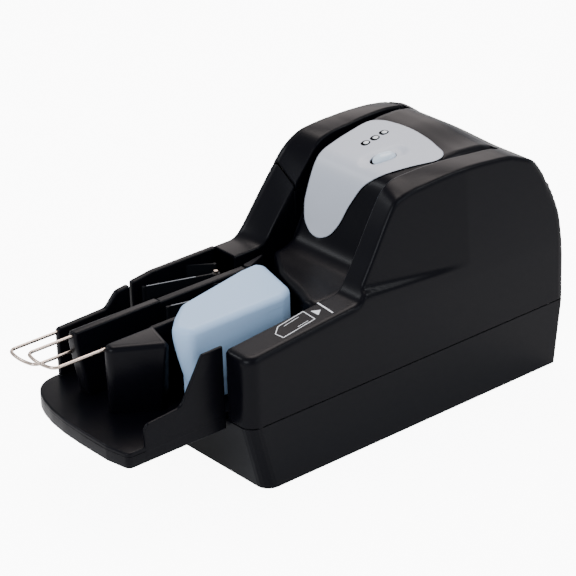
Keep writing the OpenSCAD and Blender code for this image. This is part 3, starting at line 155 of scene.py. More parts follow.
def texture_group():
    """Moulding texture. Height is fine noise; slow noise about its middle, times a spread, is added to the
    roughness, and as a gain about one it scales the colour."""
    group = bpy.data.node_groups.new("moulding_texture", "ShaderNodeTree")
    for name, way, kind in (
            ("Scale", "INPUT", "Float"), ("Base Roughness", "INPUT", "Float"),
            ("Roughness Spread", "INPUT", "Float"), ("Colour", "INPUT", "Color"), ("Colour Spread", "INPUT", "Float"),
            ("Height", "OUTPUT", "Float"), ("Roughness", "OUTPUT", "Float"), ("Shaded Colour", "OUTPUT", "Color")):
        group.interface.new_socket(name, in_out=way, socket_type="NodeSocket" + kind)
    start = node(group, "NodeGroupInput", (-900, 0))
    end = node(group, "NodeGroupOutput", (700, 0))
    where = node(group, "ShaderNodeTexCoord", (-900, 300))
    fine = node(group, "ShaderNodeTexNoise", (-600, 250), {"Detail": 3})
    slow = node(group, "ShaderNodeTexNoise", (-600, -50), {"Scale": CLOUD_SCALE, "Detail": 4})
    centred = node(group, "ShaderNodeMath", (-350, -50), {1: 0.5}, operation="SUBTRACT")
    rough = node(group, "ShaderNodeMath", (-100, 150), operation="MULTIPLY_ADD")
    gain = node(group, "ShaderNodeMath", (-100, -100), {2: 1.0}, operation="MULTIPLY_ADD")
    tint = node(group, "ShaderNodeVectorMath", (200, -100), operation="SCALE")
    link = group.links.new
    link(where.outputs["Object"], fine.inputs["Vector"])
    link(where.outputs["Object"], slow.inputs["Vector"])
    link(start.outputs["Scale"], fine.inputs["Scale"])
    link(fine.outputs["Fac"], end.inputs["Height"])
    link(slow.outputs["Fac"], centred.inputs[0])
    link(centred.outputs[0], rough.inputs[0])
    link(start.outputs["Roughness Spread"], rough.inputs[1])
    link(start.outputs["Base Roughness"], rough.inputs[2])
    link(rough.outputs[0], end.inputs["Roughness"])
    link(centred.outputs[0], gain.inputs[0])
    link(start.outputs["Colour Spread"], gain.inputs[1])
    link(start.outputs["Colour"], tint.inputs[0])
    link(gain.outputs[0], tint.inputs["Scale"])
    link(tint.outputs[0], end.inputs["Shaded Colour"])
    return group


def moulded(name, colour, rough, scale=GRAIN_SCALE, bump=0.25, spread=0.08, tone=0.25, metal=0.0, gloss=0.5, edge=0.7):
    """A finish: the moulding texture feeds colour, roughness and a fine bump, over edges eased by a radius (mm)."""
    made = bpy.data.materials.new(name)
    made.use_nodes = True
    tree = made.node_tree
    shader = tree.nodes["Principled BSDF"]
    shader.inputs["Metallic"].default_value = metal
    shader.inputs["Specular IOR Level"].default_value = gloss
    grain = node(tree, "ShaderNodeGroup", (-600, 0), {
        "Scale": scale, "Base Roughness": rough, "Roughness Spread": spread,
        "Colour": (*colour, 1), "Colour Spread": tone}, node_tree=TEXTURE)
    bumps = node(tree, "ShaderNodeBump", (-300, -200), {"Strength": bump, "Distance": GRAIN_DEPTH})
    link = tree.links.new
    if edge:
        eased = node(tree, "ShaderNodeBevel", (-500, -350), {"Radius": edge * MM}, samples=4)
        link(eased.outputs["Normal"], bumps.inputs["Normal"])
    link(grain.outputs["Height"], bumps.inputs["Height"])
    link(bumps.outputs["Normal"], shader.inputs["Normal"])
    link(grain.outputs["Roughness"], shader.inputs["Roughness"])
    link(grain.outputs["Shaded Colour"], shader.inputs["Base Color"])
    return made


TEXTURE = texture_group()
BLACK = moulded("black_moulding", (0.0013, 0.0013, 0.0028), 0.33, bump=0.3, spread=0.12, gloss=0.1)
DARK = moulded("dark_moulding", (0.004, 0.004, 0.006), 0.42, gloss=0.12)
GREY_PLASTIC = moulded("grey_moulding", (0.28, 0.29, 0.31), 0.45)
LEAF = moulded("leaf_plastic", (0.004, 0.0045, 0.006), 0.35, spread=0.05, gloss=0.08, edge=0.4)
PALE_BLUE = moulded("pale_blue_moulding", (0.38, 0.56, 0.80), 0.42, bump=0.2, tone=0.08)
PANEL = moulded("panel_grey", (0.47, 0.50, 0.56), 0.38, bump=0.15, tone=0.08)
LENS = moulded("clear_lens", (0.72, 0.76, 0.78), 0.15, bump=0.05)
STEEL_WIRE = moulded("drawn_wire", (0.60, 0.49, 0.41), 0.24, scale=900, bump=0.1, metal=1.0, edge=0)
STEEL_PLATE = moulded("steel_sheet", (0.55, 0.56, 0.58), 0.35, scale=400, bump=0.15, metal=1.0)
MOTOR_CASE = moulded("motor_can", (0.42, 0.43, 0.45), 0.30, scale=300, bump=0.1, metal=1.0)
RUBBER = moulded("matt_rubber", (0.012, 0.012, 0.012), 0.75, scale=1500, bump=0.4)
ROLLER = moulded("ground_tyre", (0.03, 0.03, 0.032), 0.6, scale=1200, bump=0.3)
BOARD = moulded("solder_mask", (0.01, 0.11, 0.04), 0.3, scale=500, bump=0.1)
WINDOW = moulded("window_face", (0.04, 0.04, 0.045), 0.12, bump=0.02)
INK = moulded("ink_body", (0.02, 0.04, 0.14), 0.3)
# painted shade: a dark matt finish laid where the panel's gap and the lights' recesses fall in shadow
PAINTED_SHADE = moulded("painted_shade", (0.002, 0.002, 0.003), 0.9, bump=0.1, gloss=0.05, edge=0)
BUTTON_BLUE = moulded("button_gloss", (0.60, 0.70, 0.80), 0.22, bump=0.05, tone=0.05, edge=0)
MARK_WHITE = moulded("mark_paint", (0.75, 0.77, 0.80), 0.5, bump=0.05, tone=0.05, edge=0)

FINISH = {
    "black_plastic": BLACK, "dark_plastic": DARK, "grey_plastic": GREY_PLASTIC, "leaf_plastic": LEAF,
    "pale_blue_plastic": PALE_BLUE, "panel_grey": PANEL, "clear_lens": LENS, "steel_wire": STEEL_WIRE,
    "steel_plate": STEEL_PLATE, "motor_case": MOTOR_CASE, "rubber": RUBBER, "roller": ROLLER,
    "circuit_board": BOARD, "glass_window": WINDOW, "ink_blue": INK}


def dress_frame():
    """Each carried-over node takes the finish of its material slot; guide leaves are as dark as swinging ones."""
    for part in frame["record"]["subparts"]:
        mesh = frame["nodes"][part["node"]].data
        mesh.materials.clear()
        mesh.materials.append(LEAF if part["node"].startswith("guide_leaf") else FINISH[part["material_slot"]])


# ---------------------------------------------------------------- outlines and forms
# A form is a tuple of points (mm), quads and caps; its faces look outward.
def rounded(corners, steps=8):
    """Outline with round corners. Corners are rows of u, v, radius, counter-clockwise, with any leading axes.
    Each corner becomes an arc: its centre lies on the bisector at radius / sin(half angle), and it touches both
    sides."""
    c = np.asarray(corners, float)
    p = c[..., :2]
    back = np.roll(p, 1, axis=-2) - p
    ahead = np.roll(p, -1, axis=-2) - p
    len_back = np.linalg.norm(back, axis=-1)
    len_ahead = np.linalg.norm(ahead, axis=-1)
    back /= len_back[..., None]
    ahead /= len_ahead[..., None]
    half = np.arccos(np.clip((back * ahead).sum(-1), -1, 1)) / 2
    turn = back[..., 0] * ahead[..., 1] - back[..., 1] * ahead[..., 0]
    bends = np.abs(turn) > 1e-4
    tan_half = np.where(bends, np.tan(half), 1.0)
    reach = np.where(bends, np.minimum(c[..., 2] / tan_half, 0.49 * np.minimum(len_back, len_ahead)), 0.0)
    radius = reach * tan_half
    bisector = back + ahead
    bisector /= np.maximum(np.linalg.norm(bisector, axis=-1), 1e-9)[..., None]
    centre = p + bisector * (radius / np.maximum(np.sin(half), 1e-9))[..., None]
    first = p + back * reach[..., None] - centre
    last = p + ahead * reach[..., None] - centre
    a0 = np.arctan2(first[..., 1], first[..., 0])
    da = np.arctan2(last[..., 1], last[..., 0]) - a0
    da = (da + np.pi) % (2 * np.pi) - np.pi
    angle = a0[..., None] + da[..., None] * np.linspace(0, 1, steps + 1)
    arc = centre[..., None, :] + radius[..., None, None] * np.stack([np.cos(angle), np.sin(angle)], -1)
    return arc.reshape(*c.shape[:-2], -1, 2)


def drawn_in(corners, depth):
    """The outline with every side moved inwards by depth (an array adds a leading axis), its radii kept tangent."""
    c = np.asarray(corners, float)
    d = np.asarray(depth, float)[..., None]
    p = c[..., :2]
    before = p - np.roll(p, 1, axis=-2)
    after = np.roll(p, -1, axis=-2) - p
    before /= np.linalg.norm(before, axis=-1)[..., None]
    after /= np.linalg.norm(after, axis=-1)[..., None]
    n1 = np.stack([-before[..., 1], before[..., 0]], -1)
    n2 = np.stack([-after[..., 1], after[..., 0]], -1)
    k = d / (1 + (n1 * n2).sum(-1))
    turn = before[..., 0] * after[..., 1] - before[..., 1] * after[..., 0]
    moved = p + k[..., None] * (n1 + n2)
    radius = np.maximum(c[..., 2] - d * np.sign(turn), 0.05)
    return np.concatenate([moved, np.broadcast_to(radius[..., None], moved[..., :1].shape)], -1)


def loft(rings, close=False):
    """Rings of equal count joined in order: both ends capped, or the last ring run back into the first. All faces
    are turned round where the volume that they enclose comes out negative."""
    rings = np.asarray(rings, float)
    count, around = rings.shape[:2]
    i, j = np.meshgrid(np.arange(count if close else count - 1), np.arange(around), indexing="ij")
    k, n = (j + 1) % around, (i + 1) % count
    faces = np.stack([i * around + j, i * around + k, n * around + k, n * around + j], -1).reshape(-1, 4)
    caps = [] if close else [list(range(around))[::-1], list(range((count - 1) * around, count * around))]
    points = rings.reshape(-1, 3)
    a, b, c, d = (points[faces[:, i]] for i in range(4))
    volume = (np.cross(a, b) * c).sum() + (np.cross(a, c) * d).sum()
    for cap in caps:
        q = points[cap]
        volume += (np.cross(q[:1], q[1:-1]) * q[2:]).sum()
    order = -1 if volume < 0 else 1
    return points, faces[:, ::order], [cap[::order] for cap in caps]


def stacked(outlines, heights, close=False):
    """Outlines in plan, each ring or each point at its height."""
    heights = np.broadcast_to(heights, outlines.shape[:2])
    return loft(np.concatenate([outlines, heights[..., None]], -1), close)


def joined(*forms):
    """Several forms as one."""
    points, faces, caps, base = [], [], [], 0
    for p, f, c in forms:
        points.append(p)
        faces.append(f + base)
        caps += [[i + base for i in cap] for cap in c]
        base += len(p)
    return np.concatenate(points), np.concatenate(faces), caps


def make_piece(name, form, finish, body, replaces=(), smooth=40.0):
    """A form becomes an object at the origin that rides on a body; edges over the smooth angle stay sharp."""
    points, faces, caps = form
    mesh = bpy.data.meshes.new(name)
    mesh.from_pydata((points * MM).tolist(), [], faces.tolist() + caps)
    mesh.update()
    mesh.validate()
    mesh.polygons.foreach_set("use_smooth", np.ones(len(mesh.polygons), bool))
    mesh.set_sharp_from_angle(angle=math.radians(smooth))
    mesh.materials.append(finish)
    piece = bpy.data.objects.new(name, mesh)
    bpy.context.scene.collection.objects.link(piece)
    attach(piece, body)
    if replaces:
        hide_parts(*replaces)


def prism(corners, low, high, edge_low=0.8, edge_high=0.8, steps=8, fillet=5):
    """An outline carried up. Near each end it draws in by r (1 - sin a) while it advances r (1 - cos a), so the
    end edges are quarter rounds."""
    a = np.linspace(0, QUARTER, fillet + 1)
    depth = np.concatenate([edge_low * (1 - np.sin(a)), edge_high * (1 - np.sin(a[::-1]))])
    z = np.concatenate([low + edge_low * (1 - np.cos(a)), high - edge_high * (1 - np.cos(a[::-1]))])
    return stacked(rounded(drawn_in(corners, depth), steps), z[:, None])


def wall_x(profile, low, high, edge):
    """A side profile (y, z, radius) with its thickness across X and quarter-round edges."""
    points, faces, caps = prism(profile, low, high, edge, edge, steps=6)
    return np.roll(points, 1, axis=-1), faces, caps


def box_plan(x0, y0, x1, y1, r=0.4):
    """A rectangle in plan, its four corners with one radius."""
    return [(x0, y0, r), (x1, y0, r), (x1, y1, r), (x0, y1, r)]


def corner_rows(along, *corners):
    """Corners given as u, v and radius, each a number or a row along a length, as one set of corners a place."""
    return np.stack([np.stack(np.broadcast_arrays(along, *corner)[1:], -1) for corner in corners], 1)


def tube(path, radius, sides):
    """A round section carried along a path that lies flat: rings square to the path, one of their axes level."""
    path = np.asarray(path, float)
    along = np.gradient(path, axis=0)
    along /= np.linalg.norm(along, axis=1)[:, None]
    side = np.cross(along, (0.0, 0.0, 1.0))
    side /= np.linalg.norm(side, axis=1)[:, None]
    lift = np.cross(side, along)
    a = np.linspace(0, 2 * np.pi, sides, endpoint=False)[None, :, None]
    return loft(path[:, None] + radius * (np.cos(a) * side[:, None] + np.sin(a) * lift[:, None]))


# ---------------------------------------------------------------- limits
# A limit is negative inside a form, zero on its skin and positive outside.
def step(t):
    """Smooth step from 0 to 1."""
    t = np.clip(t, 0, 1)
    return t * t * (3 - 2 * t)


def meet(a, b, r):
    """Where two limits meet: the larger one, with a quarter round of radius r between them."""
    return np.minimum(np.maximum(a, b), -r) + np.hypot(np.maximum(a + r, 0), np.maximum(b + r, 0))


HALVINGS = 34


def walk_out(limit, start, ray, reach, *extra):
    """Every point starts inside and moves along its ray to where the limit turns positive, by halving."""
    low = np.zeros(start.shape[:-1])
    high = np.full(start.shape[:-1], float(reach))
    for _ in range(HALVINGS):
        mid = (low + high) / 2
        inside = limit(start + ray * mid[..., None], *extra) < 0
        low = np.where(inside, mid, low)
        high = np.where(inside, high, mid)
    return start + ray * low[..., None]


def plan_limit(corners):
    """Signed distance to a closed outline in plan, with round corners where the rows hold radii."""
    q = np.asarray(corners, float)
    q = rounded(q, 6) if q.shape[1] == 3 else q

    def limit(u, v):
        best = np.full(u.shape, 1e9)
        inside = np.zeros(u.shape, bool)
        for a, b in zip(q, np.roll(q, -1, axis=0)):
            edge = b - a
            size = edge @ edge
            if size < 1e-12:
                continue
            t = np.clip(((u - a[0]) * edge[0] + (v - a[1]) * edge[1]) / size, 0, 1)
            best = np.minimum(best, np.hypot(u - a[0] - t * edge[0], v - a[1] - t * edge[1]))
            inside ^= ((a[1] > v) != (b[1] > v)) & (u < a[0] + (v - a[1]) * edge[0] / (edge[1] or 1e-12))
        return np.where(inside, -best, best)
    return limit


def smooth_line(table, spread, fine=0.25):
    """Height and slope along Y from a table of y, z: straight between the entries, then averaged with a bell."""
    t = np.asarray(table, float)
    y = np.arange(t[0, 0], t[-1, 0] + fine, fine)
    z = np.interp(y, t[:, 0], t[:, 1])
    k = np.arange(-int(4 * spread / fine), int(4 * spread / fine) + 1) * fine
    bell = np.exp(-0.5 * (k / spread) ** 2)
    bell /= bell.sum()
    pad = len(k) // 2
    left = z[0] - (z[1] - z[0]) * np.arange(pad, 0, -1)
    right = z[-1] + (z[-1] - z[-2]) * np.arange(1, pad + 1)
    z = np.convolve(np.concatenate([left, z, right]), bell, "valid")
    slope = np.gradient(z, fine)
    return (lambda q: np.interp(q, y, z)), (lambda q: np.interp(q, y, slope))


def core_line(top, ahead, depth):
    """Top line of a core: the lower of the heights here and a little ahead, less a depth."""
    return lambda y: np.minimum(top(y), top(y + ahead)) - depth


def spaced(*marks):
    """Places along a line, as far apart as each mark (place, step) asks."""
    runs = [np.arange(a, b, gap) for (a, gap), (b, _) in zip(marks, marks[1:])]
    return np.concatenate(runs + [np.array([float(marks[-1][0])])])


def walled(limit, x, front, back, floor, top_line, top_shares, spacing, closing, stop=None, swing_steps=7, reach=70):
    """A form whose rings stand across X. Every ring starts on a core: floor, back, top line and front; its rays
    walk out to the limit. At both ends the rays swing to -X and +X, then the rings close on the core's middle, in
    as many steps as closing has for each end. A stop a ring goes to the limit as well."""
    swing = np.linspace(0, QUARTER, swing_steps + 1)[1:]
    shut_l, shut_r = (np.linspace(1, 0.02, count)[1:] for count in closing)
    ends = len(shut_l) + len(swing), len(swing) + len(shut_r)
    xs, fronts = np.pad(x, ends, "edge"), np.pad(front, ends, "edge")
    tilt = np.concatenate([
        np.full(len(shut_l), -QUARTER), -swing[::-1], np.zeros(len(x)), swing, np.full(len(shut_r), QUARTER)])
    size = np.concatenate([shut_l[::-1], np.ones(len(swing) + len(x) + len(swing)), shut_r])[:, None]
    fan = np.linspace(0, QUARTER, 8)[1:-1]
    low = np.linspace(0, 1, max(3, int((back - front.min()) / spacing / 2)))
    rise = np.linspace(0, 1, max(4, int((top_line(back) - floor) / spacing)))
    drop = np.linspace(1, 0, max(4, int((top_line(front.min()) - floor) / spacing)))
    # once round the core: share of its depth, share of its height, angle of the rays
    legs = [(low, 0, -QUARTER), (1, 0, fan - QUARTER), (1, rise, 0), (1, 1, fan), (top_shares[::-1], 1, QUARTER),
            (0, 1, fan + QUARTER), (0, drop, np.pi), (0, 0, fan + np.pi)]
    share_y, share_z, angle = np.concatenate([np.stack(np.broadcast_arrays(*leg)) for leg in legs], axis=1)
    y = fronts[:, None] + share_y * (back - fronts[:, None])
    z = floor + share_z * (top_line(y) - floor)
    # rings that reach far forward close under the high part of the case
    mid_y = np.where(fronts < 40, np.maximum((fronts + back) / 2, 80), (fronts + back) / 2)[:, None]
    mid_z = floor + 0.35 * (top_line(mid_y) - floor)
    start = np.stack(np.broadcast_arrays(xs[:, None], mid_y + (y - mid_y) * size, mid_z + (z - mid_z) * size), -1)
    tilt = tilt[:, None]
    ray = np.stack(np.broadcast_arrays(
        np.sin(tilt), np.cos(tilt) * np.cos(angle), np.cos(tilt) * np.sin(angle)), -1)
    extra = () if stop is None else (np.pad(stop, ends, "edge")[:, None],)
    return loft(walk_out(limit, start, ray, reach, *extra))


# ---------------------------------------------------------------- case
HALF = 77.5
FRONT = -100.0
SEAM = 55.0
FLOOR = 60.0
FEED_EDGE = 51.0
EXIT_EDGE = -49.0
SLOT_END = 160.5
LEAN = 4.5
SCOOP_FRONT, SCOOP_DEPTH, SCOOP_LENGTH = 3.0, 6.5, 104.0
SHELF_HEIGHT, SHELF_DROP = 123.8, 9.5
ISLAND_LEFT, ISLAND_RIGHT, ISLAND_LIP = -41.0, 45.7, 47.5

TOP_LINE = [
    (106, 191.1), (126, 191.1), (143, 190.9), (152, 189.8), (160, 186.4), (173, 178.6), (181, 172.4), (188, 163),
    (205, 110)]
feed_top, feed_slope = smooth_line([
    (-102, 109.1), (-90, 110.1), (-0.6, 118.0), (3, 118.8), (7, 122.5), (20, 143.5), (32, 164.5), (42.5, 181.0),
    (47, 186.2), (53, 189.2), (61, 190.6), (85, 191.0)] + TOP_LINE, 1.8)
exit_top, _ = smooth_line([
    (-20, 115.6), (10, 115.9), (15, 119.0), (26, 134.6), (37, 151.6), (47, 167.4), (56, 180.6), (62, 184.6),
    (72, 187.0), (96, 188.4), (116, 187.9), (136, 186.4), (156, 183.4), (167, 179.8), (176, 175.0), (182, 169.5),
    (190, 160), (205, 110)], 2.2)
# how far back the rear face lies at each height
back_at, back_slope = smooth_line([
    (50, 204.0), (92, 203.8), (105, 202.9), (112, 202.2), (118.5, 201.5), (125.4, 200.4), (132.4, 199.0),
    (139.5, 197.0), (146.8, 194.5), (154.2, 191.1), (161.8, 186.8), (169.6, 181.6), (178, 174.6), (190, 160)], 2.0)
# how far the feed side's top falls off towards its outer edge, and the whole top towards the feed side
crown_at, _ = smooth_line([
    (30, 0), (40.5, 0), (44, 1.6), (48.5, 4.8), (54, 5.4), (61, 5.2), (70, 4.5), (80, 3.4), (90, 2.2), (100, 1.2),
    (112, 0.4), (125, 0), (210, 0)], 2.0)
sink_at, _ = smooth_line([
    (-30, 0), (82, 0), (95, 0.5), (108, 1.5), (120, 2.8), (132, 4.1), (142, 5.0), (150, 5.3), (158, 4.9), (166, 3.8),
    (174, 2.4), (184, 1.0), (210, 0)], 4.0)


def lean_in(z):
    """How far the side walls lean in above the ledge, growing towards the top."""
    return LEAN * np.clip((z - 103.0) / 87.0, 0, 1) ** 1.4


def feed_side(y, z):
    """Side face: the leaning wall less the recessed panel, deepest at its front edge and fading to the back."""
    t = np.clip((y - SCOOP_FRONT) / SCOOP_LENGTH, 0, 1)
    shelf = SHELF_HEIGHT - SHELF_DROP * t
    return HALF - lean_in(z) - SCOOP_DEPTH * (1 - t) * step((z - shelf) / 5.0 + 0.3)


def fall_at(x, y):
    """How far the top sinks towards the feed side: nothing up to y 82, most near y 150."""
    return step((x + 10.0) / 50.0) * sink_at(y)


def exit_roof(x, y):
    """Exit roof: its slope lies further back at the inner edge, and the rear of the inner edge stands higher."""
    t = np.clip((x + HALF) / (HALF + EXIT_EDGE), 0, 1.2)
    rise = np.interp(y, [105, 124, 142, 154, 170], [0, 1.5, 2.6, 2.0, 0.5])
    return exit_top(y - t * (7.0 + 9.0 * step((y - 25.0) / 50.0))) + t * rise


def top_at(x, y):
    """Top height: the feed side's line less its fall and crown, passing to the exit roof behind the exit housing."""
    share = step((-45.0 - x) / 20.0)
    feed = feed_top(y) - fall_at(x, y) - crown_at(y) * np.clip((x - FEED_EDGE) / 19.0, 0, 1.2) ** 1.3
    return feed * (1 - share) + exit_roof(x, y) * share


def feed_limit(p, front_stop):
    """Ledge, housing and back of the case as one body: top line, bulging rear, leaning sides with the recess, and
    the slot edge. The bay is the part beside the slot, the hood the part behind it."""
    x, y, z = p[..., 0], p[..., 1], p[..., 2]
    over = (z - top_at(x, y)) / np.hypot(1, feed_slope(y))
    behind = (y - back_at(z)) / np.hypot(1, back_slope(z))
    crown = np.maximum(over, behind)
    corner = 3.0 + 4.0 * step((z - 115.0) / 50.0)
    right = x - feed_side(y, z)
    left = -x - (HALF - lean_in(z))
    edge = 2.2 * step((SLOT_END - y) / 3.0) + 0.01
    wall = meet(right, FRONT - y, 10.0)
    bay = meet(meet(crown, FEED_EDGE - x, edge), wall, 4.2 - 2.0 * step((y + 4.0) / 12.0))
    bay = np.maximum(bay, meet(right, behind, corner))
    hood = meet(crown, left, 6.0)
    hood = np.maximum(hood, meet(left, behind, corner))
    hood = meet(hood, SLOT_END - y, np.where((x > ISLAND_LEFT) & (x < ISLAND_LIP), 0.01, 0.7))
    body = np.where(x > FEED_EDGE, bay, hood)
    return np.maximum(np.maximum(body, SEAM - z), front_stop - y)


def make_feed_cover():
    """Rings across X walk out to feed_limit: first over the hood, then down the slot's wall while their stop moves
    forward, then across the bay."""
    near, back, floor = -88.0, 186.0, 55.9
    hood_x = spaced((-62, 2.4), (-41.4, 0.8), (-40.6, 2.4), (46.9, 0.8), (50.98, 1))
    wall_stop = np.concatenate([np.linspace(SLOT_END, 60, 34), np.linspace(58, -4, 42), np.linspace(-7, FRONT, 30)])
    bay_x = FEED_EDGE + np.array([0.02, 0.1, 0.25, 0.5, 0.9, 1.4, 2.0, 2.6, 4, 6, 8.5, 11, 13.5])
    x = np.concatenate([hood_x, np.full(len(wall_stop), FEED_EDGE + 0.005), bay_x])
    # hood and bay need no stop of their own, so theirs lies clear of them
    stop = np.concatenate([np.full(len(hood_x), SLOT_END - 20), wall_stop, np.full(len(bay_x), FRONT - 20)])
    front = np.concatenate([
        np.where((hood_x > ISLAND_LEFT) & (hood_x < ISLAND_LIP), SLOT_END + 0.1, SLOT_END + 2.0),
        np.clip(wall_stop + 12, near, 170), np.full(len(bay_x), near)])
    ys = spaced((near, 3.0), (-6, 1.2), (62, 2.4), (back, 1))
    cover = walled(
        feed_limit, x, front, back, floor, core_line(feed_top, 9, 12.0), (ys - near) / (back - near), 1.8, (22, 84),
        stop=stop, swing_steps=13)
    make_piece("feed_side_cover", cover, BLACK, "case", ("feed_cover",), smooth=50)


# ---------------------------------------------------------------- island and control panel
island_top, island_slope = smooth_line([
    (-22, 111.6), (16, 112.4), (30, 114.0), (39, 117.6), (45, 125.6), (52.5, 145.6), (60, 165.6), (65.5, 175.4),
    (72, 179.4), (88, 183.8), (108, 188.2), (128, 190.8)] + TOP_LINE[2:], 2.6)
LIP_LINE = [(ISLAND_LEFT, 22, 3), (-14, 4, 9), (20, -8, 10), (33, -14, 6), (60, -14, 0)]
lip_limit = plan_limit(LIP_LINE + [(60, 200, 0), (ISLAND_LEFT, 200, 0)])

# The panel is drawn on the island's skin rolled flat: across it lies x, along it the length of the skin.
SKIN_STEP = 0.25
skin_y = np.arange(-14.0, 161.0, SKIN_STEP)
skin_s = np.concatenate([[0.0], np.cumsum(np.hypot(SKIN_STEP, np.diff(island_top(skin_y))))])
PANEL_LINE = [
    (-39.6, 52), (-39.8, 60), (-39.8, 87), (-39.2, 106), (-38.6, 117), (-30, 122.7), (-16, 124.9), (0, 125.3),
    (17.6, 124.0), (38.0, 118.4), (44.4, 111.5), (44.6, 104.6), (34.4, 87.6), (23.4, 70.2), (12.6, 62.2), (4.8, 55.2),
    (0.6, 50.2), (-5.8, 46.2), (-15, 43.9), (-24.7, 44.3), (-34.5, 47.2)]
PANEL_AROUND = 240
PANEL_SPREAD = 3.0                   # width of the bell that rounds the outline's corners
PANEL_SEAT = 3.9                     # how deep the island's skin lies under the panel
BUTTON = (7.5, 87.0)
BUTTON_TURN = math.radians(24.0)     # the button's long axis, from +Y towards +X
LIGHTS = [(-17.3, 92.4), (-16.4, 100.8), (-16.4, 109.6)]


def panel_outline():
    """Closed smooth line through the panel's corners on the flat skin, as complex numbers: a bell average over
    the even polyline."""
    x, y = np.array(PANEL_LINE + PANEL_LINE[:1], float).T
    loop = np.stack([x, np.interp(y, skin_y, skin_s)], -1)
    run = np.concatenate([[0.0], np.cumsum(np.linalg.norm(np.diff(loop, axis=0), axis=1))])
    at = np.linspace(0, run[-1], PANEL_AROUND, endpoint=False)
    line = np.interp(at, run, loop[:, 0]) + 1j * np.interp(at, run, loop[:, 1])
    k = np.fft.fftfreq(PANEL_AROUND, run[-1] / PANEL_AROUND)
    return np.fft.ifft(np.fft.fft(line) * np.exp(-0.5 * (2 * np.pi * k * PANEL_SPREAD) ** 2))


panel_edge = panel_outline()


def on_skin(x, s, lift):
    """A point of the flat skin put back on the island, lifted square to it."""
    y = np.interp(s, skin_s, skin_y)
    slope = island_slope(y)
    size = np.hypot(1, slope)
    return np.stack([x, y - lift * slope / size, island_top(y) - fall_at(x, y) + lift / size], -1)


def island_limit(p):
    """Top line and slope, the foot's front line in plan, and a right side that steps out over the track guide."""
    x, y, z = p[..., 0], p[..., 1], p[..., 2]
    over = (z - np.where(y < 150, island_top(y) - fall_at(x, y), top_at(x, y))) / np.hypot(1, island_slope(y))
    guide = np.interp(y, [12, 40, 70, 80], [105, 107, 162, 159])
    right = x - (ISLAND_RIGHT + (ISLAND_LIP - ISLAND_RIGHT) * step((z - guide - 1.0) / 2.0))
    side = meet(lip_limit(x, y), right, 8.0)
    body = meet(over, side, 3.0 + 3.5 * step((x + 10) / 30))
    return np.maximum(np.maximum(body, y - SLOT_END + 0.05), FLOOR - z)


def make_island():
    """Rings across X walk out to island_limit; then the skin inside the panel's outline sinks to the panel's seat."""
    x = spaced((-33, 2.0), (38, 1))
    lip_x, lip_y, _ = zip(*LIP_LINE)
    ys = spaced((0, 1.0), (75, 1.6), (162, 1))
    points, faces, caps = walled(
        island_limit, x, np.interp(x, lip_x, lip_y) + 10, SLOT_END - 0.12, FLOOR + 2, core_line(island_top, 4, 9.0),
        ys / ys[-1], 2.0, (26, 26), reach=60)
    outline = plan_limit(np.stack([panel_edge.real, np.interp(panel_edge.imag, skin_s, skin_y)], -1))
    within = -outline(points[:, 0], points[:, 1])
    on_top = (points[:, 2] > island_top(points[:, 1]) - 5.0) & (within > 0)
    points[:, 2] -= np.where(on_top, PANEL_SEAT * step((within - 0.6) / 1.6), 0.0)
    make_piece("island_housing", (points, faces, caps), BLACK, "case", ("island_cover",), smooth=50)


WELL_DEPTH, WELL_HALF, WELL_STRAIGHT = 1.7, 8.0, 10.0


def well_depth(x, s):
    """The scooped well round the button: a smooth step of the distance to a line along the button's axis."""
    x, s = x - BUTTON[0], s - np.interp(BUTTON[1] + 1.0, skin_y, skin_s)
    across = x * math.cos(BUTTON_TURN) - s * math.sin(BUTTON_TURN)
    along = x * math.sin(BUTTON_TURN) + s * math.cos(BUTTON_TURN)
    beyond = np.maximum(np.abs(along) - WELL_STRAIGHT, 0)
    return WELL_DEPTH * step(1.3 - np.hypot(across / WELL_HALF, beyond / WELL_HALF))


def oval_radius(a, half_x, half_y):
    """Radius of a stadium-like oval at angle a: a superellipse of power 2.4."""
    return (np.abs(np.cos(a) / half_x) ** 2.4 + np.abs(np.sin(a) / half_y) ** 2.4) ** (-1 / 2.4)


def make_panel():
    """Loops on the flat skin, each with its lift: the wall of the button's hole, the top with the well, a
    quarter-round rim and the outer wall. A low band round the outline, in a dark matt finish, is painted shade: the
    shadow that falls in the gap round the panel."""
    line = panel_edge
    centre = BUTTON[0] + 1j * np.interp(BUTTON[1], skin_y, skin_s)
    a = np.angle(line - centre)
    hole = centre + oval_radius(a + BUTTON_TURN, 6.1, 10.2) * np.exp(1j * a)
    tangent = np.roll(line, -1) - np.roll(line, 1)
    out = -1j * tangent / np.abs(tangent)
    low, high, rim = -1.3, 0.55, 0.7
    shares = np.linspace(0, 1, 40)[:, None] ** 1.15
    top = hole * (1 - shares) + (line - rim * out) * shares
    fan = np.linspace(0, QUARTER, 5)[1:, None]
    edge = line - rim * (1 - np.sin(fan)) * out
    level = np.ones((1, PANEL_AROUND))
    grid = np.concatenate([[hole], top, edge, [line]])
    lifts = np.concatenate([
        (low - 1.2) * level, high - well_depth(top.real, top.imag),
        (high - rim * (1 - np.cos(fan))) * level, low * level])
    inlay = loft(on_skin(grid.real, grid.imag, lifts), close=True)
    make_piece("panel_inlay", inlay, PANEL, "case", ("control_panel",), smooth=45)
    # painted shade: a dark band round the panel's outline stands in for the shadow in its gap
    grid = line + out * np.array([-0.4, -0.4, 0.7, 0.9])[:, None]
    lifts = np.array([-0.6, 0.12, 0.12, -0.3])[:, None] * level
    band = loft(on_skin(grid.real, grid.imag, lifts), close=True)
    make_piece("panel_gap_shade", band, PAINTED_SHADE, "case", smooth=60)


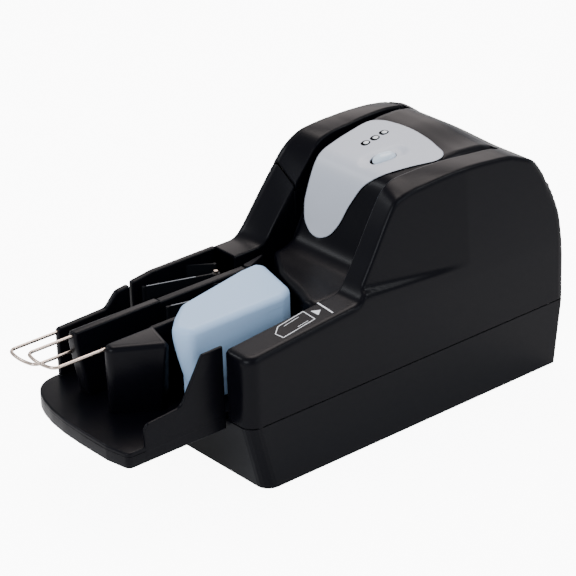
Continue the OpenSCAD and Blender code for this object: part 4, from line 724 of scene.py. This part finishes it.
def dome(centre, half_x, half_y, height, skirt, rings=14, around=48, power=2.4, turn=0.0, dip=0.0):
    """An oval dome on the island's skin: height falls as (1 - r^power)^(1/2) from the middle, then a straight
    skirt; turn swings its long axis from +Y towards +X, and dip lowers its far end."""
    t = np.sin(np.linspace(0.06, QUARTER, rings))
    a = np.linspace(0, 2 * np.pi, around, endpoint=False)
    r = np.append(t, 1.0)[:, None] * oval_radius(a, half_x, half_y)
    lift = np.append(height * np.sqrt(np.clip(1 - t ** power, 0, 1)), -skirt)[:, None]
    across, along = r * np.cos(a), r * np.sin(a)
    x = across * math.cos(turn) + along * math.sin(turn)
    v = along * math.cos(turn) - across * math.sin(turn)
    z = lift + float(island_slope(centre[1])) * v - dip * along
    return loft(np.array(centre) + np.stack([x, v, z], -1))


def make_button():
    """An oval dome with a round stem that reaches down into the spring."""
    x, y = BUTTON
    z = float(island_top(y))
    cap = dome((x + 0.5, y + 1.0, z - 1.5), 5.5, 8.8, 4.2, 0.4, turn=BUTTON_TURN, dip=0.07)
    stem = prism(box_plan(x - 1.4, y - 1.4, x + 1.4, y + 1.4, 1.3), z - 5.0, z - 1.6, 0.3, 0.3)
    button = joined(cap, stem)
    make_piece("start_button", button, BUTTON_BLUE, "power_button_body", ("power_button",))


def make_lights():
    """Three flat round rings in a dark matt finish, painted shade for the recess round each light, and in each a small
    dome as its lens.
    """
    places = [(x, y, float(island_top(y)) + 0.55) for x, y in LIGHTS]
    # painted shade: each dark ring stands in for the shadow of the recess round a light
    ring_shades = [dome((x, y, z + 0.04), 3.5, 3.5, 0.1, 0.6, rings=4, around=32, power=8) for x, y, z in places]
    lenses = [dome((x + 0.1, y + 0.6, z + 0.08), 2.15, 2.15, 0.5, 7.0, rings=8, around=32) for x, y, z in places]
    make_piece("light_ring_shade", joined(*ring_shades), PAINTED_SHADE, "case")
    make_piece("light_domes", joined(*lenses), LENS, "case", ("status_lights",))


# ---------------------------------------------------------------- exit side
COVER_FOOT = 60.2
BAY_FRONT, BAY_REAR = 50.1, 157.0    # the room under the lid, along Y
LID_PIN = (-73.3, 123.0)             # x, z
KNUCKLE_START, KNUCKLE_PITCH = 56.0, 19.0


def arch(ys, foot_in, foot_out, wall, edge_in=2.4, edge_out=5.5):
    """The exit housing's section carried along Y: up the inner wall, over the roof, down the leaning outer wall
    and back inside at the wall's thickness. Near both ends it draws in by a quarter round of 0.6 mm."""
    a = np.linspace(0, QUARTER, 4)
    shrink, run = 0.6 * (1 - np.sin(a)), 0.6 * (1 - np.cos(a))
    depth = np.concatenate([shrink, np.zeros(len(ys)), shrink[::-1]])
    y = np.concatenate([ys[0] + run, np.linspace(ys[0] + 0.62, ys[-1] - 0.62, len(ys)), ys[-1] - run[::-1]])
    head = -HALF + lean_in(exit_top(y))
    foot = -HALF + lean_in(foot_out)
    top, top_in = exit_roof(head, y), exit_roof(EXIT_EDGE, y)
    inner, inside = EXIT_EDGE, EXIT_EDGE - wall
    corners = corner_rows(
        y, (inner, foot_in, 0.4), (inner, top_in, edge_in), (head, top, edge_out), (foot, foot_out, 0.4),
        (foot + wall, foot_out, 0.4), (head + wall, top - wall, edge_out - wall), (inside, top_in - wall, 0.5),
        (inside, foot_in, 0.4))
    flat = rounded(drawn_in(corners, depth), 7)
    return loft(np.stack(np.broadcast_arrays(flat[..., 0], y[:, None], flat[..., 1]), -1))


def hinge_knuckles(numbers, web_low, web_high, gap):
    """Hinge barrels round the lid's pin, one a pitch along Y, each with its web."""
    forms = []
    for i in numbers:
        y0 = KNUCKLE_START + KNUCKLE_PITCH * i + gap
        y1 = KNUCKLE_START + KNUCKLE_PITCH * (i + 1) - gap
        axis = np.linspace((LID_PIN[0], y0, LID_PIN[1]), (LID_PIN[0], y1, LID_PIN[1]), 5)
        forms += [tube(axis, 3.0, 28), prism(box_plan(-76, y0, -73.5, y1), web_low, web_high, 0.2, 0.2, steps=3)]
    return forms


def make_exit_side():
    """Housing: an arch before and behind the lid, thin walls between them, a low wall beside the pockets and a
    sill on the seam. Lid: one arch with a higher foot. Their hinge knuckles alternate."""
    housing = joined(
        arch(spaced((-8, 3), (8, 1.0), (50, 1)), COVER_FOOT, COVER_FOOT, 2.5),
        arch(np.linspace(157.1, 160.1, 4), COVER_FOOT, COVER_FOOT, 2.5),
        prism(box_plan(-77.4, BAY_FRONT, -75, BAY_REAR), COVER_FOOT, 118.6, 0.3, 0.5),
        prism(box_plan(-51.5, BAY_FRONT, EXIT_EDGE, BAY_REAR), COVER_FOOT, 149.8, 0.3, 0.5),
        wall_x([(-84.4, 60.1, 0.5), (-7, 60.1, 0.5), (-7, 114.7, 0.5), (-12, 114.7, 1), (-66, 114.4, 6),
                (-78, 112.6, 6), (-84.4, 111.9, 2)], -77.5, -72.5, 1.3),
        prism(box_plan(-HALF, -8, -75, 160.1), SEAM + 0.05, 60.6, 0.3, 0.2),
        *hinge_knuckles((0, 2, 4), 117, LID_PIN[1], 0.2))
    make_piece("exit_housing", housing, BLACK, "case", ("exit_cover",), smooth=42)
    lid = joined(
        arch(spaced((50.9, 1.2), (90, 3), (156.3, 1)), 150.5, 126.6, 2.2),
        *hinge_knuckles((1, 3), LID_PIN[1], 129, 0.35))
    make_piece("exit_lid", lid, BLACK, "access_lid_body", ("access_lid",), smooth=42)


# ---------------------------------------------------------------- pockets and hopper
TRAY_LINE = [
    (-77.5, -100.1, 0.3), (-77.5, -154, 30), (-75.9, -163.5, 25), (-71.4, -170.8, 25), (-63.5, -176.6, 30),
    (-53, -181, 45), (-38.5, -184.8, 60), (-20, -187.2, 90), (1, -188, 90), (30, -188, 10), (50.85, -184.5, 5),
    (50.85, -100.1, 0.3)]


def make_tray():
    """Floor plate with a quarter-round rim, a hanging wall under its edge as closed loops drawn in by a depth
    each, the rear floor, and a side wall on either side."""
    plate = prism(TRAY_LINE, 56.5, FLOOR, 0.0, 1.3, steps=10)
    loops = rounded(drawn_in(TRAY_LINE, np.array([0.5, 0.15, 0, 0, 0.3, 2.5, 2.5])), 10)
    hanging = stacked(loops, np.array([48.0, 48.35, 48.9, 57.0, 56.9, 56.9, 48.0])[:, None], close=True)
    rear_floor = prism(box_plan(-77.5, -100.2, 49.7, -12), SEAM + 0.1, FLOOR, 0.2, 0.3)
    right = wall_x([(-170, 48.2, 0.3), (-100.2, 48.2, 0.3), (-100.2, 112.4, 1), (-118.5, 112, 3), (-138.5, 79, 8),
                    (-167, 77, 4), (-170, 73, 2)], 48.5, 51, 0.9)
    left = wall_x([(-151, 59.2, 0.5), (-86.4, 59.2, 0.5), (-86.4, 110.5, 2), (-98, 109, 6), (-108, 98.6, 5),
                   (-151, 97.2, 3)], -77.5, -72.5, 1.6)
    tray = joined(plate, hanging, rear_floor, right, left)
    make_piece("tray_moulding", tray, BLACK, "case", ("pocket_tray",), smooth=42)


def make_post():
    """An outline that changes evenly from foot to head as it rises, with a quarter-round top edge, and a thin
    wall behind it."""
    foot = np.array([(-9.5, -167, 4.6), (18, -131, 3), (17.5, -124, 2), (-4.5, -117, 1), (-9.5, -117, 0.4)])
    head = np.array([(-9.5, -175, 6.2), (21, -126, 3.5), (19.8, -122.5, 2), (-4.5, -115, 1), (-9.5, -115, 0.4)])
    low, high, edge = 60.1, 112, 4.2
    a = np.linspace(QUARTER, 0, 7)
    z = np.concatenate([[low, low + 0.4], high - edge * (1 - np.cos(a))])
    depth = np.concatenate([[0.3, 0.0], edge * (1 - np.sin(a))])
    corners = foot + (head - foot) * ((z - low) / (high - low))[:, None, None]
    post = stacked(rounded(drawn_in(corners, depth)), z[:, None])
    wall = prism(box_plan(-9.5, -118, -4.5, -16, 0.8), low, 111.5, 0.3, 1.5)
    make_piece("hopper_post_cover", joined(post, wall), BLACK, "case", ("hopper_post",), smooth=42)


def make_divider():
    """Nose: the left side sweeps in near the top and the front edge rakes forward as it rises. Rear: a plain wall."""
    low, high, edge = 60.1, 112, 1.6
    a = np.linspace(QUARTER, 0, 6)
    z = np.concatenate([
        [low, low + 0.4], np.linspace(75, 99, 4), np.linspace(100.5, 109.5, 8), high - edge * (1 - np.cos(a))])
    depth = np.concatenate([[0.3], np.zeros(len(z) - 7), edge * (1 - np.sin(a))])
    left = np.interp(z, [60, 99, 102, 105, 112], [-47, -46.1, -45.6, -44.6, -42])
    right = np.interp(z, [60, 112], [-33.5, -35])
    front = np.interp(z, [60, 104, 108, 112], [-154, -162.6, -163, -163])
    rear = -88.1
    corners = corner_rows(z, (left, front, 2.6), (right, front, 2.6), (right, rear, 0.5), (left, rear, 0.5))
    nose = stacked(rounded(drawn_in(corners, depth), 7), z[:, None])
    make_piece("divider_nose_cover", nose, BLACK, "case", ("divider_nose",), smooth=42)
    wall = prism(box_plan(-42, rear + 0.1, -35, -8, 0.6), low, 111, 0.3, edge)
    make_piece("divider_rear", wall, BLACK, "case", ("pocket_divider",), smooth=42)


WIRE_R, WIRE_BEND, WIRE_BOW = 1.25, 6.0, math.radians(15.0)
WIRE_END = -125.0


def wire_path(x0, x1, bar_y, z, right_end=WIRE_END):
    """A leg, a bend, a bowed bar as a shallow arc, a bend and a leg, spaced finely along each run."""
    bow_r = WIRE_BEND + ((x1 - x0) / 2 - WIRE_BEND) / math.sin(WIRE_BOW)
    bow_y = bar_y + WIRE_R + bow_r
    bend_y = bow_y - (bow_r - WIRE_BEND) * math.cos(WIRE_BOW)
    a = np.radians(np.linspace(180, 255, 14))
    bend = np.stack([x0 + WIRE_BEND * (1 + np.cos(a)), bend_y + WIRE_BEND * np.sin(a)], -1)
    a = np.radians(np.linspace(256.5, 283.5, 16))
    bar = np.stack([(x0 + x1) / 2 + bow_r * np.cos(a), bow_y + bow_r * np.sin(a)], -1)
    flat = np.concatenate([
        np.linspace((x0, WIRE_END), (x0, bend_y + 1.0), 24), bend, bar, (bend * (-1, 1) + (x0 + x1, 0))[::-1],
        np.linspace((x1, bend_y + 1.0), (x1, right_end), 24)])
    return np.insert(flat, 2, z, axis=1)


def make_wires():
    """A round section carried along each wire's path."""
    for name, replaced, body, path in (
            ("wire_loop_near", "near_wire", "near_wire_body", wire_path(-38.5, -7.0, -204.0, 108.6, right_end=-110.0)),
            ("wire_loop_far", "far_wire", "far_wire_body", wire_path(-75.0, -43.8, -195.0, 94.0))):
        make_piece(name, tube(path, WIRE_R, 20), STEEL_WIRE, body, (replaced,))


FLAG_LINE = [
    (20, -120.5, 9), (34, -114, 8), (34, -31, 12), (28.5, -19.5, 13), (-14, -8, 8), (-21.4, -12, 6), (-20, -28, 10),
    (-6, -92, 14), (6, -107, 14)]
FLAG_TOP, FLAG_RIM, FLAG_SKIRT = 122.0, 113.0, 63.0
FLAG_PIN = (21, -107)
NOSE_LEFT, NOSE_REAR, NOSE_FOOT = 5.0, -97.0, 76.0


def flag_part(low_x, low_y, high_x, high_y, heights):
    """The part of the flag's outline inside a box in plan, its repeated points dropped, carried up."""
    q = np.clip(rounded(FLAG_LINE, 12), (low_x, low_y), (high_x, high_y))
    q = q[np.linalg.norm(q - np.roll(q, 1, axis=0), axis=1) > 1e-4]
    return upright(q, heights)


def upright(outline, heights):
    """An outline in plan carried up through the heights."""
    z = np.asarray(heights, float)[:, None]
    return stacked(np.broadcast_to(outline, (len(z), *outline.shape)), z)


def make_flag():
    """Cap with a quarter-round rim over a skirt that keeps to its outline; the nose draws back as it goes down."""
    cap = prism(FLAG_LINE, FLAG_RIM, FLAG_TOP, 0.0, 5.2, steps=12, fillet=10)
    nose, faces, caps = flag_part(NOSE_LEFT, -130, 34, NOSE_REAR, np.linspace(NOSE_FOOT, FLAG_RIM, 16))
    x, y, z = nose.T
    t = np.clip((FLAG_RIM - z) / (FLAG_RIM - NOSE_FOOT), 0, 1) ** 1.3
    nose = np.stack([x + 10.0 * t * (1 - (x - NOSE_LEFT) / 29.0), y + 7.0 * t * (NOSE_REAR - y) / 23.5, z], -1)
    skirt = flag_part(31.8, NOSE_REAR, 34, -45, [FLAG_SKIRT, FLAG_RIM])
    rear = flag_part(23, -45, 34, -19.4, [FLAG_SKIRT, FLAG_RIM])
    a = np.linspace(0, 2 * np.pi, 48, endpoint=False)
    boss = upright(np.stack([FLAG_PIN[0] + 4.4 * np.cos(a), FLAG_PIN[1] + 4.4 * np.sin(a)], -1), [FLAG_SKIRT, 80])
    flag = joined(cap, (nose, faces, caps), skirt, rear, boss)
    make_piece("flag_cap", flag, PALE_BLUE, "feeder_flag_body", ("feeder_flag",), smooth=42)


def make_leaf_highlights():
    """Thin grey rods along the tops of the two swinging leaves: a painted highlight on their top edges."""
    for name, body, tip, root in (("leaf_highlight_1", "pocket_leaf_1_body", (-30.5, -85.0), (-15.0, -24.0)),
                                  ("leaf_highlight_2", "pocket_leaf_2_body", (-68.0, -78.0), (-49.5, -26.0))):
        share = np.linspace(0.04, 0.72, 12)[:, None]
        path = np.insert(np.array(tip) + np.subtract(root, tip) * share, 2, 107.9, axis=1)
        # painted highlight: a grey rod stands in for the glint along each leaf's top edge
        make_piece(name, tube(path, 0.4, 12), GREY_PLASTIC, body)


def painted(edge):
    """Rows of four points across a stroke, laid on the ledge: the paint stands 0.06 mm proud and 0.2 mm deep."""
    return stacked(edge, feed_top(edge[..., 1]) + np.array([-0.2, 0.06, 0.06, -0.2]))


def mark_stroke(a, b, half_width):
    """A straight stroke from a to b: the line's points moved by half its width to each side."""
    line = np.linspace(a, b, 12)
    along = np.subtract(b, a) / math.dist(a, b)
    side = np.array([-along[1], along[0]]) * half_width
    return painted(np.stack([line + side, line + side, line - side, line - side], 1))


def make_mark():
    """A plain sheet, an arrow head and a stop bar, painted on the ledge."""
    sheet = [(53.2, -30.0), (67.4, -31.2), (70.0, -62.0), (62.0, -62.6), (55.6, -55.0)]
    strokes = [mark_stroke(a, b, 0.35) for a, b in zip(sheet, sheet[1:] + sheet[:1])]
    strokes += [mark_stroke((51.8, -15.4), (70.6, -17.6), 0.62), mark_stroke((56.6, -37.0), (58.4, -52.0), 0.22),
                mark_stroke((65.6, -36.0), (66.4, -46.0), 0.22)]
    y, half = np.linspace(-26.2, -20.6, 10), np.linspace(4.2, 0.15, 10)
    head = painted(np.stack([np.stack([61.0 + side * half, y], -1) for side in (1, 1, -1, -1)], 1))
    make_piece("ledge_mark", joined(*strokes, head), MARK_WHITE, "case")


make_camera()
make_studio()
dress_frame()
make_feed_cover()
make_island()
make_panel()
make_button()
make_lights()
make_exit_side()
make_tray()
make_post()
make_divider()
make_wires()
make_flag()
make_leaf_highlights()
make_mark()
